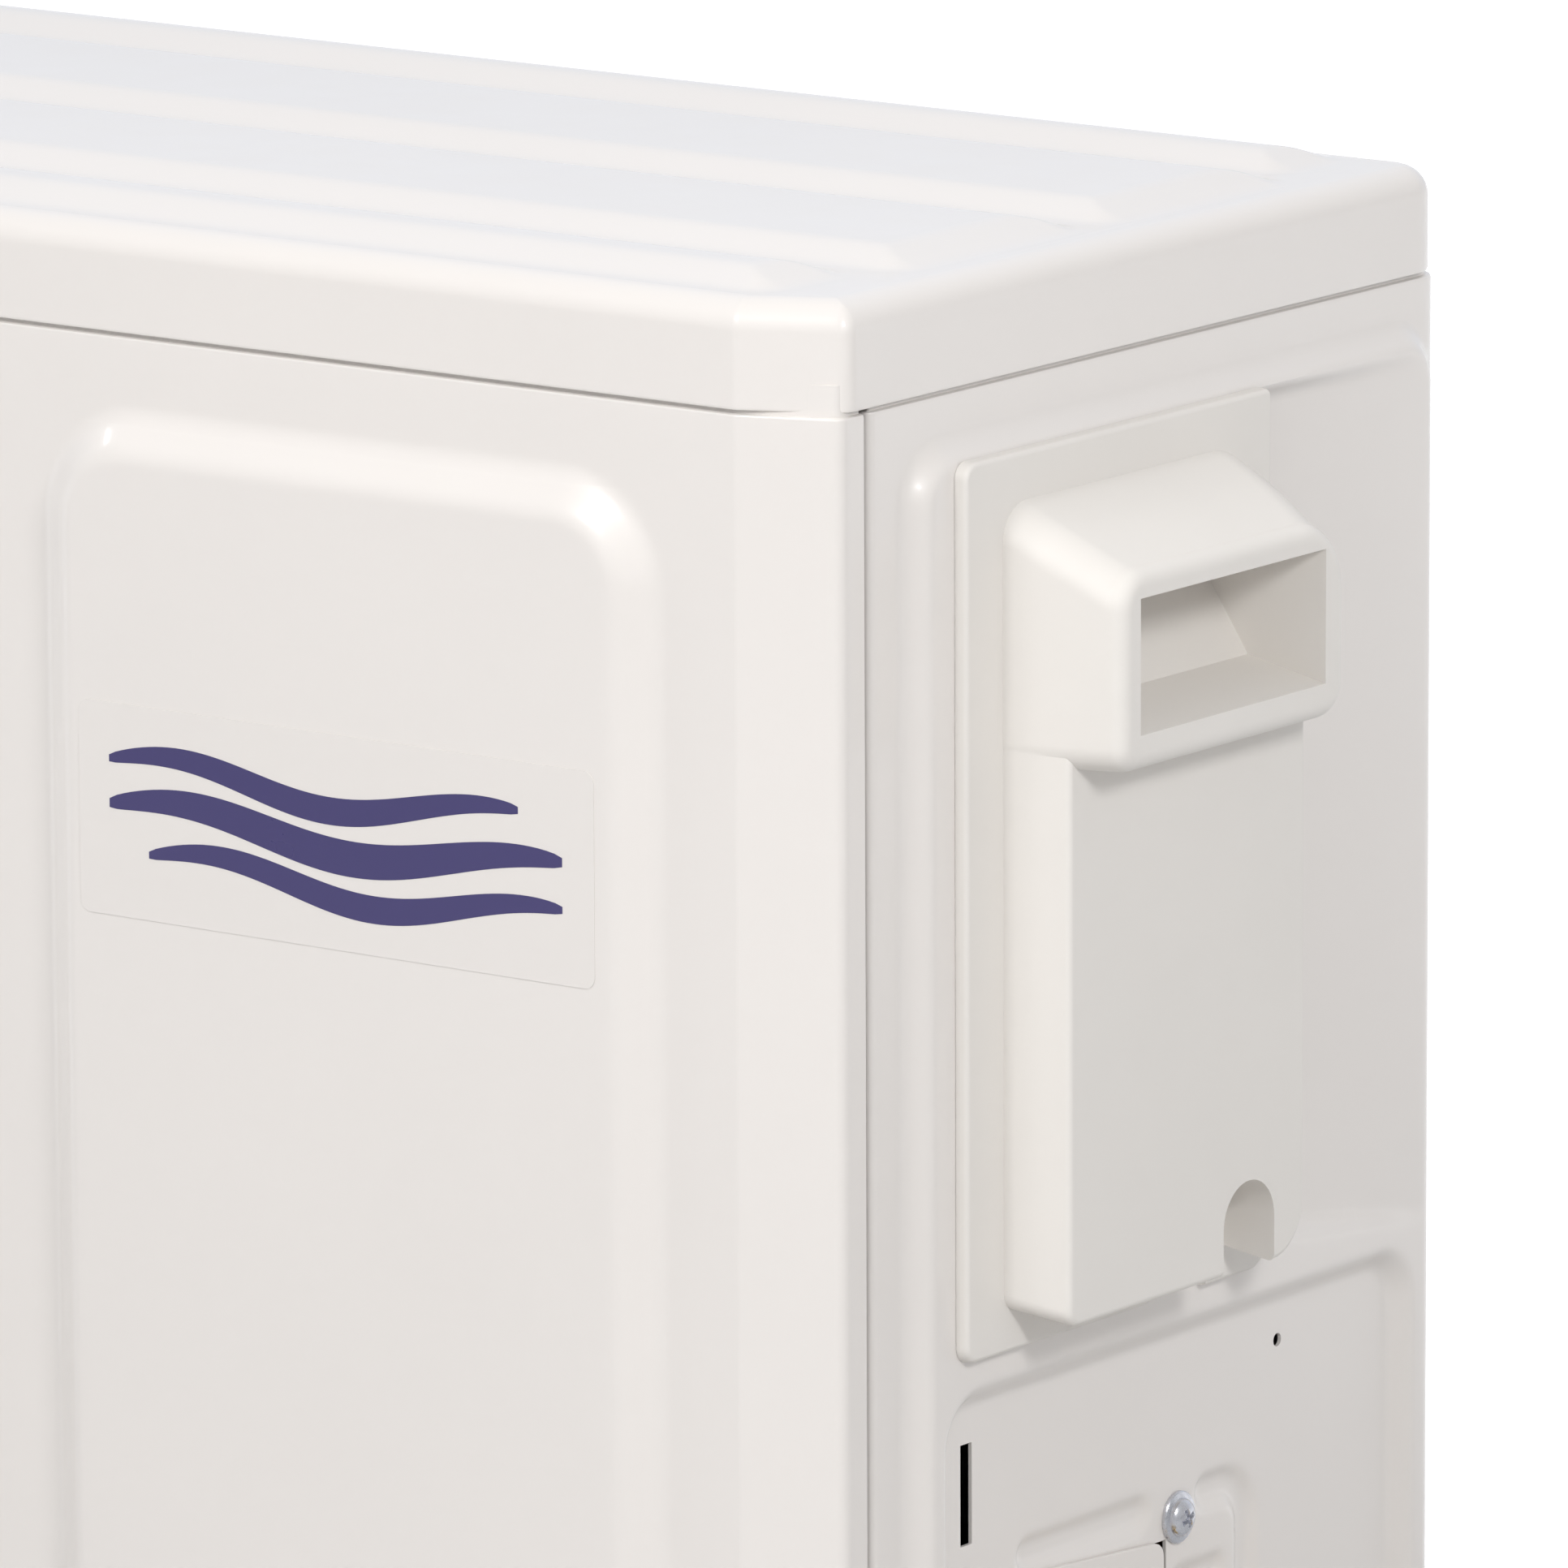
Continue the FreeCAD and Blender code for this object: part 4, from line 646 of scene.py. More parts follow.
def make_side():
    start = -REAR + 20.0
    corners = [(RIGHT - 13.0, start), (RIGHT, start), (RIGHT, REAR), (RIGHT - 112.0, REAR)]
    holes = [SLOT, VALVE_WINDOW, WIRING_WINDOW]
    exact_y = [v for hole in holes for v in hole[:2]]
    exact_z = [v for hole in holes for v in hole[2:]]
    py, pz, pr = PILOT
    pilot_lines = [-pr, -pr / 2, 0.0, pr / 2, pr]
    exact_y += [py + d for d in pilot_lines]
    exact_z += [pz + d for d in pilot_lines]
    ys = lines(start + 4.5, REAR - 9.5, 6.0, [(-101.0, -66.0), (-58.0, 60.0), (88.0, 125.0)],
               exact_y, fine=1.0)
    zs = lines(PANEL_FOOT + 0.8, PANEL_TOP - 0.8, 8.0, [(31.0, 68.0), (196.0, 300.0), (478.0, 506.0)],
               exact_z, fine=1.0)
    path = bent_path(corners, [2.2, 9.0], {"y": ys})
    on_side = path[:, 2] > 0.9999
    z = sheet_rows(zs)[0]
    x, y, zz = folded_sheet(path, zs, on_side, side_height(path[:, 1][:, None], z[None, :]))
    rows, columns = x.shape
    near = on_side[:, None] & (np.maximum(np.abs(y - py), np.abs(zz - pz)) < pr + 0.01)
    scale = np.where(near & (np.maximum(np.abs(y - py), np.abs(zz - pz)) > pr - 0.05),
                     pr / np.maximum(np.hypot(y - py, zz - pz), 1e-6), 1.0)
    y = np.where(near, py + (y - py) * scale, y)
    zz = np.where(near, pz + (zz - pz) * scale, zz)
    verts = list(zip(x.ravel(), y.ravel(), zz.ravel()))
    cuts = holes + [(py - pr, py + pr, pz - pr, pz + pr)]

    def keep(i, j):
        if not (on_side[i] and on_side[i + 1]):
            return True
        cy, cz = (path[i, 1] + path[i + 1, 1]) / 2, (z[j] + z[j + 1]) / 2
        return not any(a < cy < b and c < cz < d for a, b, c, d in cuts)

    verts, faces = used_only(verts, grid_faces(rows, columns, keep))
    verts, faces = outward(verts, faces)
    piece("side_panel_pressed", verts, faces, "cabinet", "case_paint", ["side_panel"], thick=1.0, crease=38)


def rim_of(faces):
    """The outer loop of an open patch of faces."""
    edges = {(a, b) for face in faces for a, b in zip(face, face[1:] + face[:1])}
    ahead = {a: b for a, b in edges if (b, a) not in edges}
    start = min(ahead)
    loop = [start]
    while ahead[loop[-1]] != start and len(loop) < len(ahead):
        loop.append(ahead[loop[-1]])
    return loop


def used_only(verts, faces):
    """Drops the vertices that no face uses."""
    used = sorted({v for face in faces for v in face})
    place = {v: k for k, v in enumerate(used)}
    return [verts[v] for v in used], [[place[v] for v in face] for face in faces]


# --- wiring cover
def loop4(y0, y1, z0, z1, radii, steps=8):
    """A rectangle in the side plane with four corner radii: front low, rear low, rear high, front high."""
    points = []
    spots = ((y0, z0, 1, 1, 180), (y1, z0, -1, 1, 270), (y1, z1, -1, -1, 0), (y0, z1, 1, -1, 90))
    for (y, z, sy, sz, start), r in zip(spots, radii):
        for k in range(steps + 1):
            angle = math.radians(start + 90 * k / steps)
            points.append((y + sy * r + r * math.cos(angle), z + sz * r + r * math.sin(angle)))
    return points


def loft(rings):
    """A closed solid through rings of (x, [(y, z), ...])."""
    verts, count = [], len(rings[0][1])
    for x, ring in rings:
        verts.extend((x, y, z) for y, z in ring)
    faces = strips([], len(rings), count)
    faces.append(list(range(count))[::-1])
    faces.append([(len(rings) - 1) * count + i for i in range(count)])
    return verts, faces


def domed(x0, x1, edges0, edges1, radii, fillet, steps=7, bulge=None):
    """A moulded boss from x0 out to x1: drafted walls, then a rounded outer edge."""
    rings = []
    wall = np.linspace(0, 1, 7 if bulge else 2)
    top = x1 - fillet
    for t in wall:
        x = x0 + (top - x0) * t
        share = (x - x0) / (x1 - x0)
        e = [a + (b - a) * share for a, b in zip(edges0, edges1)]
        if bulge:
            e[1] += bulge * 4 * share * (1 - share)
        rings.append((x, loop4(*e, radii)))
    e = [a + (b - a) * (top - x0) / (x1 - x0) for a, b in zip(edges0, edges1)]
    if bulge:
        share = (top - x0) / (x1 - x0)
        e[1] += bulge * 4 * share * (1 - share)
    for k in range(1, steps + 1):
        angle = math.pi / 2 * k / steps
        d = fillet * (1 - math.cos(angle))
        r = [max(value - d, 0.3) for value in radii]
        rings.append((top + fillet * math.sin(angle), loop4(e[0] + d, e[1] - d, e[2] + d, e[3] - d, r)))
    return loft(rings)


HOOD_BACK, HOOD_PLATE, HOOD_FACE, GRIP_FACE = 384.9, 388.2, 405.5, 420.0


def make_hood():
    wall = 2.2
    plate = domed(HOOD_BACK, HOOD_PLATE, (-83.2, 43.4, 280.2, 497.4), (-82.9, 43.1, 280.5, 497.1),
                  (4.0, 8.0, 1.6, 4.0), 1.3, 5)
    lower = domed(HOOD_PLATE - 2, HOOD_FACE, (-68.6, 34.0, 290.8, 470), (-65.4, 32.8, 287.9, 470),
                  (4.5, 13.0, 5.0, 5.0), 1.8)
    grip = domed(HOOD_PLATE - 2, GRIP_FACE, (-68.8, 35.2, 422.0, 486.5), (-64.2, 27.0, 423.4, 469.6),
                 (6.5, 9.0, 17.0, 9.5), 4.4, 10, 2.6)
    lower_in = domed(HOOD_BACK - 3, HOOD_FACE - wall, (-66.0, 31.6, 293.4, 470), (-63.0, 30.4, 290.4, 470),
                     (3.0, 10.0, 3.0, 3.0), 0.8, 4)
    grip_in = domed(HOOD_BACK - 3, GRIP_FACE - wall, (-66.2, 32.6, 424.6, 483.5), (-61.8, 24.6, 425.8, 467.0),
                    (4.5, 7.0, 15.0, 7.5), 2.4, 5)
    hood = solid("hood", plate)
    combine(hood, solid("lower", lower), "UNION")
    combine(hood, solid("grip", grip), "UNION")
    inside = solid("inside", lower_in)
    combine(inside, solid("grip_in", grip_in), "UNION")
    combine(inside, solid("pocket_walls", pocket(wall)), "DIFFERENCE")
    combine(inside, solid("notch_walls", notch(wall, HOOD_BACK - 4)), "DIFFERENCE")
    combine(hood, inside, "DIFFERENCE")
    combine(hood, solid("pocket", pocket(0.0)), "DIFFERENCE")
    combine(hood, solid("notch", notch(0.0, HOOD_PLATE)), "DIFFERENCE")
    arc = turned([(HOOD_BACK - 5, 13.0), (HOOD_PLATE + 0.05, 13.0)], "X", (4.0, 276.0), 64)
    combine(hood, solid("plate_arc", arc), "DIFFERENCE")
    mesh = hood.data
    mesh.transform(Matrix.Scale(MM, 4))
    bpy.data.objects.remove(hood)
    dress("wiring_cover_moulded", mesh, "wiring_hood", "cover_plastic", ["wiring_cover"], crease=26)


def pocket(grow):
    """The finger hollow: a floor that climbs inwards, then a back wall that leans away upwards."""
    outer = GRIP_FACE + (1.0 if not grow else -0.5)
    section = [(outer, 431.9), (399.0, 437.4), (387.6, 456.2), (387.2, 463.0), (outer, 465.0)]
    middle = np.mean(section, axis=0)
    sides = [(-57.4, 19.9), (-54.0, 17.4), (-53.0, 16.4), (-53.0, 16.4), (-57.4, 19.9)]
    if grow:
        pushed = []
        for x, z in section:
            pushed.append((x - (grow if x < outer else 0), z + grow * (1 if z > middle[1] else -1)))
        section = pushed
        sides = [(a - grow, b + grow) for a, b in sides]
    verts = [(x, side[0], z) for (x, z), side in zip(section, sides)]
    verts += [(x, side[1], z) for (x, z), side in zip(section, sides)]
    n = len(section)
    faces = [list(range(n)), list(range(n, 2 * n))[::-1]]
    faces += [(i, (i + 1) % n, n + (i + 1) % n, n + i) for i in range(n)]
    return verts, faces


def notch(grow, start):
    """The arched channel for the cable, from the plate out to the face."""
    centre, half, low, spring = 9.1, 10.7 + grow, 270.0, 299.6
    angles = [math.pi * k / 24 for k in range(25)]
    arch = [(centre + half * math.cos(a), spring + half * math.sin(a)) for a in angles]
    ring = [(centre + half, low)] + arch + [(centre - half, low)]
    return loft([(start, ring), (HOOD_FACE + (-0.5 if grow else 1), ring)])


# --- screws
def screw_head(radius=6.5, rings=26, count=72):
    """A washer-faced pan head with a cross recess, as (verts, faces), standing on z = 0."""
    verts, faces = [], []
    profile = [(radius, 0.0), (radius, 0.7), (radius - 0.3, 1.0), (radius - 1.5, 1.15)]
    dome = radius - 1.7
    steps = np.linspace(1.0, 0.0, rings) ** 0.8
    for t in steps[:-1]:
        profile.append((dome * t, 1.15 + 2.4 * math.sqrt(max(1 - t * t, 0.0)) + 0.15))
    for r, z in profile:
        for k in range(count):
            angle = 2 * math.pi * k / count
            a, b = r * math.cos(angle), r * math.sin(angle)
            cross = min(max(abs(a), abs(b)) - 2.5, 0) * -1
            arm = 0.62 - min(abs(a), abs(b)) + 0.05 * max(abs(a), abs(b))
            deep = min(max(arm / 0.25, 0), 1) * min(max(cross / 0.5, 0), 1) * 1.6
            centre = min(max((1.1 - math.hypot(a, b)) / 0.4, 0), 1) * 1.8
            verts.append((a, b, z - max(deep, centre)))
    strips(faces, len(profile), count)
    faces.append([(len(profile) - 1) * count + i for i in range(count)])
    faces.append(list(range(count))[::-1])
    return verts, faces


def placed(shape, origin, axis, roll=0.0, scale=1.0):
    """A shape built along +Z, turned so that +Z points along axis, and moved to origin."""
    turn = Vector((0, 0, 1)).rotation_difference(Vector(axis)).to_matrix()
    turn = turn @ Matrix.Rotation(math.radians(roll), 3, "Z")
    return [tuple(turn @ (Vector(v) * scale) + Vector(origin)) for v in shape[0]], shape[1]


def make_screws():
    head = screw_head()
    parts = [placed(head, (RIGHT + 0.1, 15.5, 221.5), (1, 0, 0), 22)]
    for y, z, x in ((-58, 68, RIGHT + 1.6), (-101, 27.6, RIGHT + 0.1), (115, 27.6, RIGHT + 0.1)):
        parts.append(placed(head, (x, y, z), (1, 0, 0), y, 0.95))
    for x in (-340, -60, 120, 345):
        parts.append(placed(head, (x, -REAR - 0.1, 32), (0, -1, 0), x, 0.95))
    for index in range(4):
        angle = math.radians(45 + 90 * index)
        spot = (FAN_X + 213.5 * math.cos(angle), -136.1, FAN_Z + 213.5 * math.sin(angle))
        parts.append(placed(head, spot, (0, -1, 0), 50 * index, 0.95))
    piece("case_screws_heads", *merge(parts), "cabinet", "fastener", ["case_screws"], crease=35)


# --- badge
def make_badge():
    face = -REAR - 6.0
    outline = [(x, z) for x, z in loop4(162.6, 318.4, 372.2, 424.6, (3, 3, 3, 3), 6)]
    film = [(x, face - 0.02, z) for x, z in outline] + [(x, face - 0.16, z) for x, z in outline]
    n = len(outline)
    faces = [list(range(n)), list(range(n, 2 * n))[::-1]]
    faces += [(i, (i + 1) % n, n + (i + 1) % n, n + i) for i in range(n)]
    piece("badge_clear", *outward(film, faces), "cabinet", "badge", ["badge_film"], FILM)
    parts = []
    for lift, start, end, thick in ((409.5, 172, 296, 3.4), (398.5, 172, 309, 4.4), (387.0, 184, 309, 3.4)):
        top, low = [], []
        for k in range(61):
            t = k / 60
            x = start + (end - start) * t
            z = lift + 3.6 * math.sin(2 * math.pi * 1.25 * t + 0.4)
            half = thick * (0.25 + 0.75 * math.sin(math.pi * min(max(t, 0.0), 1.0)) ** 0.55)
            top.append((x, z + half))
            low.append((x, z - half))
        ring = top + low[::-1]
        m = len(ring)
        verts = [(x, face - 0.14, z) for x, z in ring] + [(x, face - 0.22, z) for x, z in ring]
        quads = []
        for side in (0, m):
            quads += [(side + i, side + i + 1, side + m - 2 - i, side + m - 1 - i) for i in range(60)]
        quads += [(i, (i + 1) % m, m + (i + 1) % m, m + i) for i in range(m)]
        parts.append(outward(verts, quads))
    piece("badge_air_waves", *merge(parts), "cabinet", "badge")


# --- fan and grille
def ring_bar(radius, y, across, deep, count=160, sides=12):
    verts = []
    for k in range(count):
        angle = 2 * math.pi * k / count
        for s in range(sides):
            a = 2 * math.pi * s / sides
            r = radius + across / 2 * math.cos(a)
            verts.append((FAN_X + r * math.cos(angle), y + deep / 2 * math.sin(a),
                          FAN_Z + r * math.sin(angle)))
    faces = []
    for k in range(count):
        for s in range(sides):
            a, b = k * sides, ((k + 1) % count) * sides
            faces.append((a + s, b + s, b + (s + 1) % sides, a + (s + 1) % sides))
    return outward(verts, faces)


def make_grille():
    parts = []
    ring_count, spoke_count = 14, 24
    for index in range(1, ring_count + 1):
        parts.append(ring_bar(34 + 12 * index, -139.6 + 0.9 * (index / ring_count), 2.7, 5.6))
    for index in range(spoke_count):
        angle = 2 * math.pi * index / spoke_count
        sides, count = 8, 20
        verts = []
        for k in range(count):
            t = k / (count - 1)
            r = 30 + (216 - 30) * t
            twist = angle + 0.22 * t * t
            y = -137.4 + 0.9 * t
            c, s = math.cos(twist), math.sin(twist)
            for m in range(sides):
                a = 2 * math.pi * m / sides
                off, deep = 1.7 * math.cos(a), 2.6 * math.sin(a)
                verts.append((FAN_X + r * c - off * s, y + deep, FAN_Z + r * s + off * c))
        faces = strips([], count, sides)
        faces += [list(range(sides))[::-1], [(count - 1) * sides + m for m in range(sides)]]
        parts.append(outward(verts, faces))
    hub = [(-134.5, 0.1), (-134.5, 35), (-138, 36.5), (-141.5, 36), (-142.6, 33), (-142.9, 26), (-142.9, 0.1)]
    parts.append(outward(*turned([(y, r) for y, r in hub], "Y", (FAN_X, FAN_Z), 96)))
    rim = [(-130.1, 207.2), (-130.1, 220), (-134.5, 219.8), (-136.0, 218.2), (-136.2, 214), (-138.6, 211.5),
           (-138.8, 208.6), (-136.5, 207.2)]
    parts.append(outward(*turned(rim, "Y", (FAN_X, FAN_Z), 192, closed=True)))
    piece("fan_grille_moulded", *merge(parts), "cabinet", "grille_plastic", ["fan_grille"], crease=40)


def make_fan():
    front, back = -98.0, -46.0
    middle = (front + back) / 2
    hub = [(back, 0.1), (back, 44), (back - 1, 46), (front + 16, 46), (front + 9, 43.5), (front + 6, 38),
           (front + 5.5, 12), (front + 3, 10), (front + 3, 0.1)]
    parts = [outward(*turned(hub, "Y", (FAN_X, FAN_Z), 72))]
    root, tip = 44.5, 190.0
    for index in range(3):
        rows, columns = 26, 30
        top, low = [], []
        for i in range(rows):
            t = i / (rows - 1)
            r = root + (tip - root) * t
            chord = math.radians(66 + 12 * t - 20 * t ** 3)
            lead = math.radians(20 + 120 * index) + 0.30 * t * t
            pitch = 24 * (1 - 0.30 * t)
            for j in range(columns):
                s = j / (columns - 1)
                round_tip = 1.0 - 0.16 * max(0.0, (t - 0.82) / 0.18) ** 2
                angle = lead + chord * (s - 0.5) * round_tip
                camber = 5.0 * (1 - (2 * s - 1) ** 2)
                y = middle + pitch * (0.5 - s) * 1.75 + camber * 0.6
                half = 1.15 * math.sqrt(max(1 - (2 * s - 1) ** 4, 0.02)) * (1.5 - 0.7 * t)
                c, k = math.cos(angle), math.sin(angle)
                top.append((FAN_X + r * c, y - half, FAN_Z + r * k))
                low.append((FAN_X + r * c, y + half, FAN_Z + r * k))
        n = rows * columns
        faces = grid_faces(rows, columns)
        faces += [[v + n for v in f][::-1] for f in grid_faces(rows, columns)]
        rim = [i * columns for i in range(rows)] + [(rows - 1) * columns + j for j in range(1, columns)]
        rim += [i * columns + columns - 1 for i in range(rows - 2, -1, -1)]
        rim += list(range(columns - 2, 0, -1))
        faces += [(a, b, b + n, a + n) for a, b in zip(rim, rim[1:] + rim[:1])]
        parts.append(outward(top + low, faces))
    piece("axial_fan_moulded", *merge(parts), "fan_rotor", "fan_plastic", ["axial_fan"], crease=40)


# --- coil
def make_coil():
    """Thin fins across the tubes, and the tubes with their bends round the corner."""
    parts = []
    low, high = 24.3, 505.7
    x = -371.0
    pitch = 2.0
    while x < 261:
        parts.append(block((x, x + 0.22), (97.3, 118.7), (low, high)))
        x += pitch
    y = -91.0
    while y < 96:
        parts.append(block((-372.7, -351.3), (y, y + 0.22), (low, high)))
        y += pitch
    piece("condenser_fin_pack", *merge(parts), "cabinet", "coil_aluminium", ["condenser_fins"],
          weighted=False)
    tubes = []
    for level in range(18):
        z = 36.5 + 25.0 * level + 2
        for row, y in enumerate((103.0, 113.0)):
            turned_in = -357.0 - 5 * row
            bends = [(262.0, y, z), (-340.0, y, z), (turned_in, y - 16, z), (turned_in, -92.0, z)]
            tubes.append(tube(bends, 3.4))
    piece("coil_tubes", *merge(tubes), "cabinet", "copper", crease=50)


def tube(points, radius, sides=10, steps=5, bend=12.0):
    """A round tube along straight runs and arcs."""
    points = [Vector(p) for p in points]
    path = [points[0]]
    for a, b, c in zip(points, points[1:], points[2:]):
        into, out = (b - a).normalized(), (c - b).normalized()
        reach = min(bend, (b - a).length / 2, (c - b).length / 2)
        p0, p2 = b - into * reach, b + out * reach
        for k in range(steps + 1):
            t = k / steps
            path.append(p0.lerp(b, t).lerp(b.lerp(p2, t), t))
    path.append(points[-1])
    verts = []
    side = None
    for i, p in enumerate(path):
        ahead = (path[min(i + 1, len(path) - 1)] - path[max(i - 1, 0)]).normalized()
        if side is None:
            side = ahead.orthogonal().normalized()
        side = (side - ahead * side.dot(ahead)).normalized()
        other = ahead.cross(side)
        for k in range(sides):
            a = 2 * math.pi * k / sides
            verts.append(tuple(p + (side * math.cos(a) + other * math.sin(a)) * radius))
    faces = strips([], len(path), sides)
    faces += [list(range(sides))[::-1], [(len(path) - 1) * sides + k for k in range(sides)]]
    return outward(verts, faces)


def make_hairpins():
    """Return bends on the right-hand end plate."""
    parts = []
    for index in range(9):
        z = 64.0 + 50.0 * index
        arc = []
        for k in range(13):
            a = -math.pi / 2 + math.pi * k / 12
            arc.append((263.0 + 12.5 * math.cos(a), 108.0, z + 12.5 * math.sin(a)))
        parts.append(tube(arc, 3.4, 12, 1, 0.1))
    piece("coil_return_bends", *merge(parts), "cabinet", "copper", ["coil_hairpins"], crease=50)


def make_guard():
    """Rear guard: rounded bars on the same pitch as the CAD's windows."""
    parts = []
    left = -376.0
    right = RIGHT - 113.0
    foot, top = 43.0, 509.0
    y0, y1 = 126.2, 128.9
    parts.append(block((left, left + 10), (y0, y1), (foot, top), 0.6))
    for column in range(29):
        x = left + 27 + column * 21
        parts.append(block((x, x + 4), (y0, y1), (foot, top), 0.9))
    parts.append(block((left + 27 + 588, right), (y0, y1), (foot, top), 0.6))
    for level in range(11):
        low = foot if level == 0 else 50 + (level - 1) * 45.5 + 41
        high = top if level == 10 else 50 + level * 45.5
        parts.append(block((left, right), (y0 + 0.3, y1 - 0.3), (low, high), 0.8))
    piece("rear_guard_grid", *merge(parts), "cabinet", "grille_plastic", ["rear_guard"], crease=40)


def make_left():
    """Left sheet with pressed air slots, each with a turned-in lip."""
    start = -REAR + 20.2
    columns_at = [(-88 + 62 * k, -38 + 62 * k) for k in range(3)]
    rows_at = [(70 + 12 * k, 76 + 12 * k) for k in range(34)]
    ys = lines(start, REAR - 1.3, 14.0, [], [v for c in columns_at for v in (c[0] - 2, c[0], c[1], c[1] + 2)])
    zs = lines(PANEL_FOOT, PANEL_TOP, 14.0, [],
               [v for r in rows_at for v in (r[0] - 1.6, r[0], r[1], r[1] + 1.6)])
    gy, gz = np.meshgrid(ys, zs, indexing="ij")
    inward = np.zeros_like(gy)
    for a, b in columns_at:
        for c, d in rows_at:
            near = (gy >= a - 0.01) & (gy <= b + 0.01) & (gz >= c - 0.01) & (gz <= d + 0.01)
            inward[near] = 1.4
    verts = list(zip((-RIGHT + inward).ravel(), gy.ravel(), gz.ravel()))
    rows, columns = gy.shape

    def keep(i, j):
        cy, cz = (ys[i] + ys[i + 1]) / 2, (zs[j] + zs[j + 1]) / 2
        return not any(a < cy < b for a, b in columns_at) or not any(c < cz < d for c, d in rows_at)

    faces = grid_faces(rows, columns, keep)
    verts, faces = used_only(verts, [f[::-1] for f in faces])
    piece("left_panel_louvred", verts, faces, "cabinet", "case_paint", ["left_panel"], thick=0.9, crease=50)


# --- valves
def hex_cap(x0, x1, across, bore, deep, centre, axis="X", count=72):
    """A hexagonal cap: corners chamfered at both ends, a shallow dome and a real bore."""
    def radius(angle, limit):
        step = math.pi / 3
        flat = across / 2 / math.cos((angle + step / 2) % step - step / 2)
        return min(flat, limit)

    corner = across / math.sqrt(3)
    span = abs(x1 - x0)
    sign = 1 if x1 > x0 else -1
    profile = [(0.0, bore), (0.0, corner - 1.6), (0.9, corner - 0.3), (1.6, corner + 1),
               (span - 2.6, corner + 1), (span - 1.4, corner - 0.5), (span - 0.5, corner - 1.8),
               (span - 0.15, corner - 4.0), (span, corner - 7.0), (span, 0.1)]
    inner = [(deep, 0.1), (deep, bore - 0.3), (deep - 0.6, bore)]
    verts, faces = [], []
    rings = inner + profile
    for along, limit in rings:
        for k in range(count):
            angle = 2 * math.pi * k / count
            r = radius(angle, limit)
            a, b = r * math.cos(angle), r * math.sin(angle)
            x = x0 + sign * along
            verts.append((x, centre[0] + a, centre[1] + b) if axis == "X" else
                         (centre[0] + a, x, centre[1] + b))
    strips(faces, len(rings), count)
    faces += [list(range(count)), [(len(rings) - 1) * count + i for i in range(count)]]
    return outward(verts, faces)


def make_valves():
    for name, body, z in (("gas", "gas_cap", 168.0), ("liquid", "liquid_cap", 102.0)):
        low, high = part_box(f"{name}_valve_cap")
        piece(f"{name}_cap_turned", *hex_cap(low[0] / MM, high[0] / MM, 23.0, 9.35, 17.7, (-24.0, z)), body,
              "valve_brass", [f"{name}_valve_cap"], crease=24)
    low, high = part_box("port_cap")
    cap = hex_cap(high[1] / MM, low[1] / MM, 14.0, 5.35, 16.0, (396.0, 168.0), "Y")
    piece("port_cap_turned", *cap, "charging_cap", "valve_brass", ["port_cap"], crease=24)


def make_valve_plate():
    """The plate behind the valves, with rounded corners, a bore for each valve and a slanted top edge."""
    base = [(-68.0, 56.0), (7.4, 56.0), (8.0, 216.9), (-68.0, 222.6)]
    corner = 4
    outline = []
    for i in range(4):
        here = Vector(base[i])
        before = (here - Vector(base[i - 1])).normalized()
        after = (Vector(base[(i + 1) % 4]) - here).normalized()
        for k in range(7):
            t = k / 6
            p = (here - before * corner).lerp(here, t).lerp(here.lerp(here + after * corner, t), t)
            outline.append((p.x, p.y))
    rings = [(380.15, outline), (381.2, outline)]
    middle = Vector((-30.0, 140.0))
    for inset, x in ((0.15, 381.42), (0.5, 381.5)):
        pulled = [Vector(p) + (middle - Vector(p)).normalized() * inset for p in outline]
        rings.append((x, [(p.x, p.y) for p in pulled]))
    plate = solid("plate", loft(rings))
    for z, r in ((168.0, 9.0), (102.0, 7.0)):
        combine(plate, solid("bore", turned([(375.0, r), (390.0, r)], "X", (-24.0, z), 48)), "DIFFERENCE")
    mesh = plate.data
    mesh.transform(Matrix.Scale(MM, 4))
    bpy.data.objects.remove(plate)
    dress("valve_plate_pressed", mesh, "cabinet", "case_paint", ["valve_plate"], crease=30)


# --- the nodes that stay
def paint_nodes():
    """Gives every carried-over CAD node the material of its slot."""
    slots = {part["node"]: part["material_slot"] for part in frame["record"]["subparts"]}
    for name, obj in frame["nodes"].items():
        material = MATERIALS[slots[name]]
        if obj.material_slots:
            for place in obj.material_slots:
                place.material = material
        else:
            obj.data.materials.append(material)


# --- studio and camera
LIGHT_AIM = (0.3, -0.05, 0.4)
# The second and fourth values paint the floor: a painted glow behind the object and a painted darker shade in
# front of it.
WORLD, FLOOR_GLOW, BACKDROP, FLOOR_FRONT_SHADE = 0.55, 0.45, 0.34, 0.55
KEY_FRONT, KEY_LEFT, TOP_SOFT, RIGHT_SOFT = 27.0, 4.0, 1.0, 9.5


def behind(tree, vector):
    """How far a point lies to the rear left, where the white backdrop stands."""
    node = tree.nodes.new("ShaderNodeVectorMath")
    node.operation = "DOT_PRODUCT"
    node.inputs[1].default_value = (-0.594, 0.804, 0.0)
    tree.links.new(vector, node.inputs[0])
    return node.outputs["Value"]


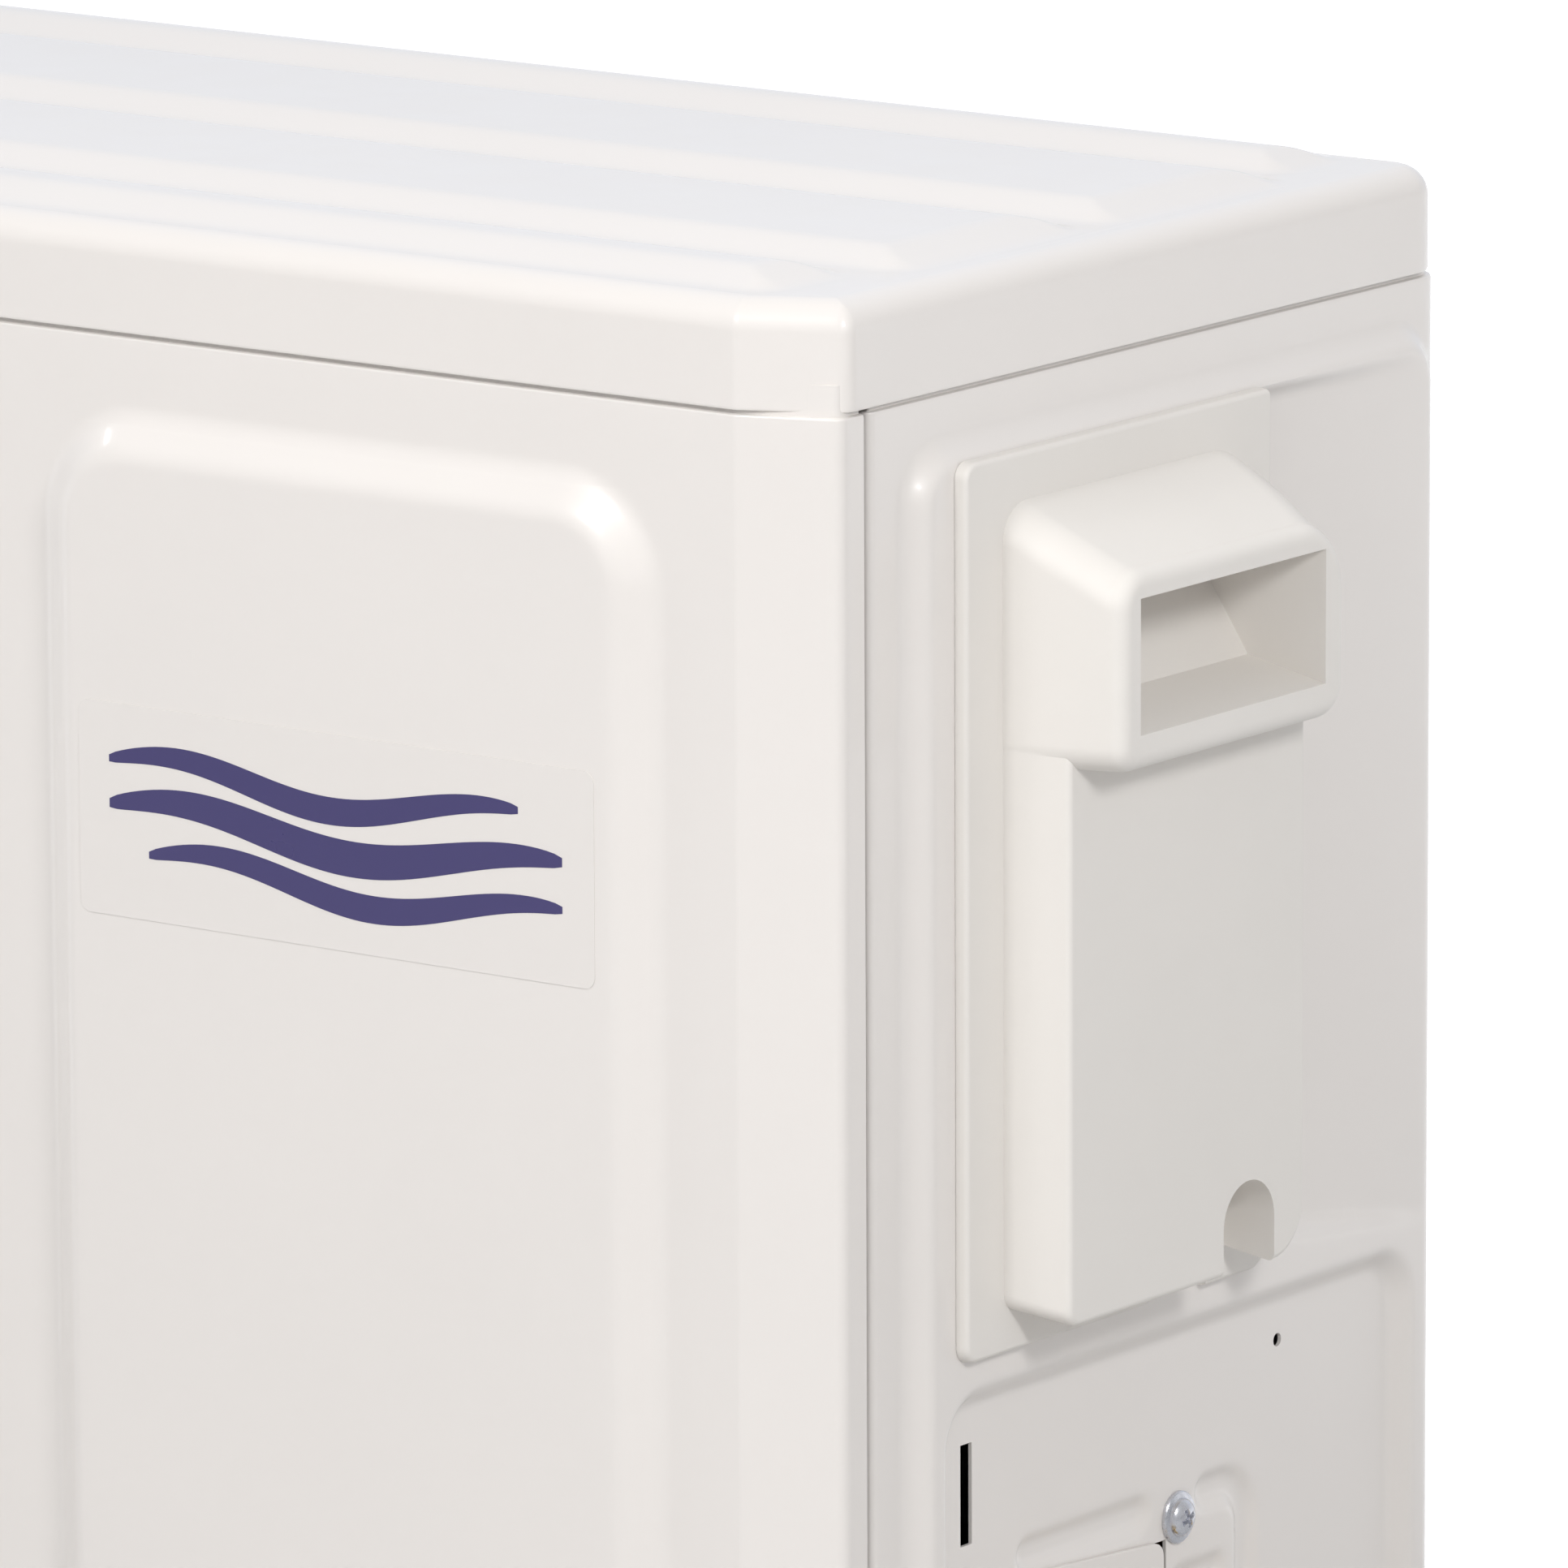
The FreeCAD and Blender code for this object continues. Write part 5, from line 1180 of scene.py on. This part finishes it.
def make_floor():
    mat, tree, bsdf, place = shader("studio_floor", (0.96, 0.96, 0.96, 1.0), 0.7)
    bsdf.inputs["Emission Color"].default_value = (1, 1, 1, 1)
    # Painted light: the floor glows behind the object, so it shows as a brightly lit white backdrop.
    glow = spread(tree, behind(tree, place), 0.0, FLOOR_GLOW, 0.15, 0.5)
    tree.links.new(glow, bsdf.inputs["Emission Strength"])
    # Painted shade: the floor's colour is darker in front of the object, standing in for a dim studio there.
    near, far = (FLOOR_FRONT_SHADE, FLOOR_FRONT_SHADE, FLOOR_FRONT_SHADE, 1), (0.96, 0.96, 0.96, 1)
    tree.links.new(tint(tree, behind(tree, place), near, far, 0.0, 0.3), bsdf.inputs["Base Color"])
    bump(tree, bsdf, [(noise(tree, place, 20.0), 0.02, 0.001)])
    mesh = bpy.data.meshes.new("floor")
    size = 40.0
    corners = [(-size, -size, 0), (size, -size, 0), (size, size, 0), (-size, size, 0)]
    mesh.from_pydata(corners, [], [(0, 1, 2, 3)])
    floor = bpy.data.objects.new("floor", mesh)
    floor.data.materials.append(mat)
    bpy.context.scene.collection.objects.link(floor)


def make_light(name, direction, distance, size, power):
    """direction is (azimuth, elevation) in degrees; azimuth 0 is in front of the object, 90 to its right."""
    azimuth, elevation = map(math.radians, direction)
    level = math.cos(elevation)
    ray = Vector((math.sin(azimuth) * level, -math.cos(azimuth) * level, math.sin(elevation)))
    data = bpy.data.lights.new(name, "AREA")
    data.shape = "RECTANGLE"
    data.size, data.size_y = size
    data.energy = power
    lamp = bpy.data.objects.new(name, data)
    lamp.location = Vector(LIGHT_AIM) + ray * distance
    lamp.rotation_euler = (-ray).to_track_quat("-Z", "Y").to_euler()
    bpy.context.scene.collection.objects.link(lamp)
    return lamp


def make_studio():
    world = bpy.data.worlds.new("studio")
    world.use_nodes = True
    background = world.node_tree.nodes["Background"]
    tree = world.node_tree
    sky = tree.nodes.new("ShaderNodeTexCoord")
    rear = behind(tree, sky.outputs["Generated"])
    tree.links.new(spread(tree, rear, WORLD, WORLD + BACKDROP, 0.1, 0.7), background.inputs["Strength"])
    cool = tint(tree, rear, (1.0, 1.0, 1.0, 1.0), (0.94, 0.985, 1.07, 1.0), 0.1, 0.7)
    tree.links.new(cool, background.inputs["Color"])
    bpy.context.scene.world = world
    make_light("key_front", (-6, 38), 2.6, (0.75, 0.6), KEY_FRONT)
    make_light("key_left", (-72, 32), 3.0, (0.35, 0.35), KEY_LEFT)
    make_light("top_soft", (20, 80), 2.6, (2.0, 2.0), TOP_SOFT)
    make_light("right_soft", (62, 28), 1.7, (0.3, 0.3), RIGHT_SOFT)
    view = bpy.context.scene.view_settings
    view.view_transform = "Standard"
    view.look = "None"
    view.exposure = 0.0
    view.gamma = 1.0


def make_camera():
    azimuth, pitch, roll = math.radians(36.4388), math.radians(11.6568), math.radians(-0.2504)
    level = math.cos(pitch)
    forward = Vector((-math.sin(azimuth) * level, math.cos(azimuth) * level, -math.sin(pitch)))
    right = Vector((math.cos(azimuth), math.sin(azimuth), 0.0))
    down = forward.cross(right)
    c, s = math.cos(roll), math.sin(roll)
    turned_right = right * c - down * s
    turned_down = right * s + down * c
    data = bpy.data.cameras.new("camera")
    data.sensor_width = 36.0
    data.lens = 329.545
    data.clip_end = 100.0
    camera = bpy.data.objects.new("camera", data)
    basis = Matrix((turned_right, -turned_down, -forward)).transposed().to_4x4()
    camera.matrix_world = Matrix.Translation((2.31483, -2.76486, 1.10258)) @ basis
    bpy.context.scene.collection.objects.link(camera)
    bpy.context.scene.camera = camera


paint_nodes()
make_cover()
make_front()
make_side()
make_hood()
make_screws()
make_badge()
make_grille()
make_fan()
make_coil()
make_hairpins()
make_guard()
make_left()
make_valves()
make_valve_plate()
make_floor()
make_studio()
make_camera()

bpy.context.view_layer.update()
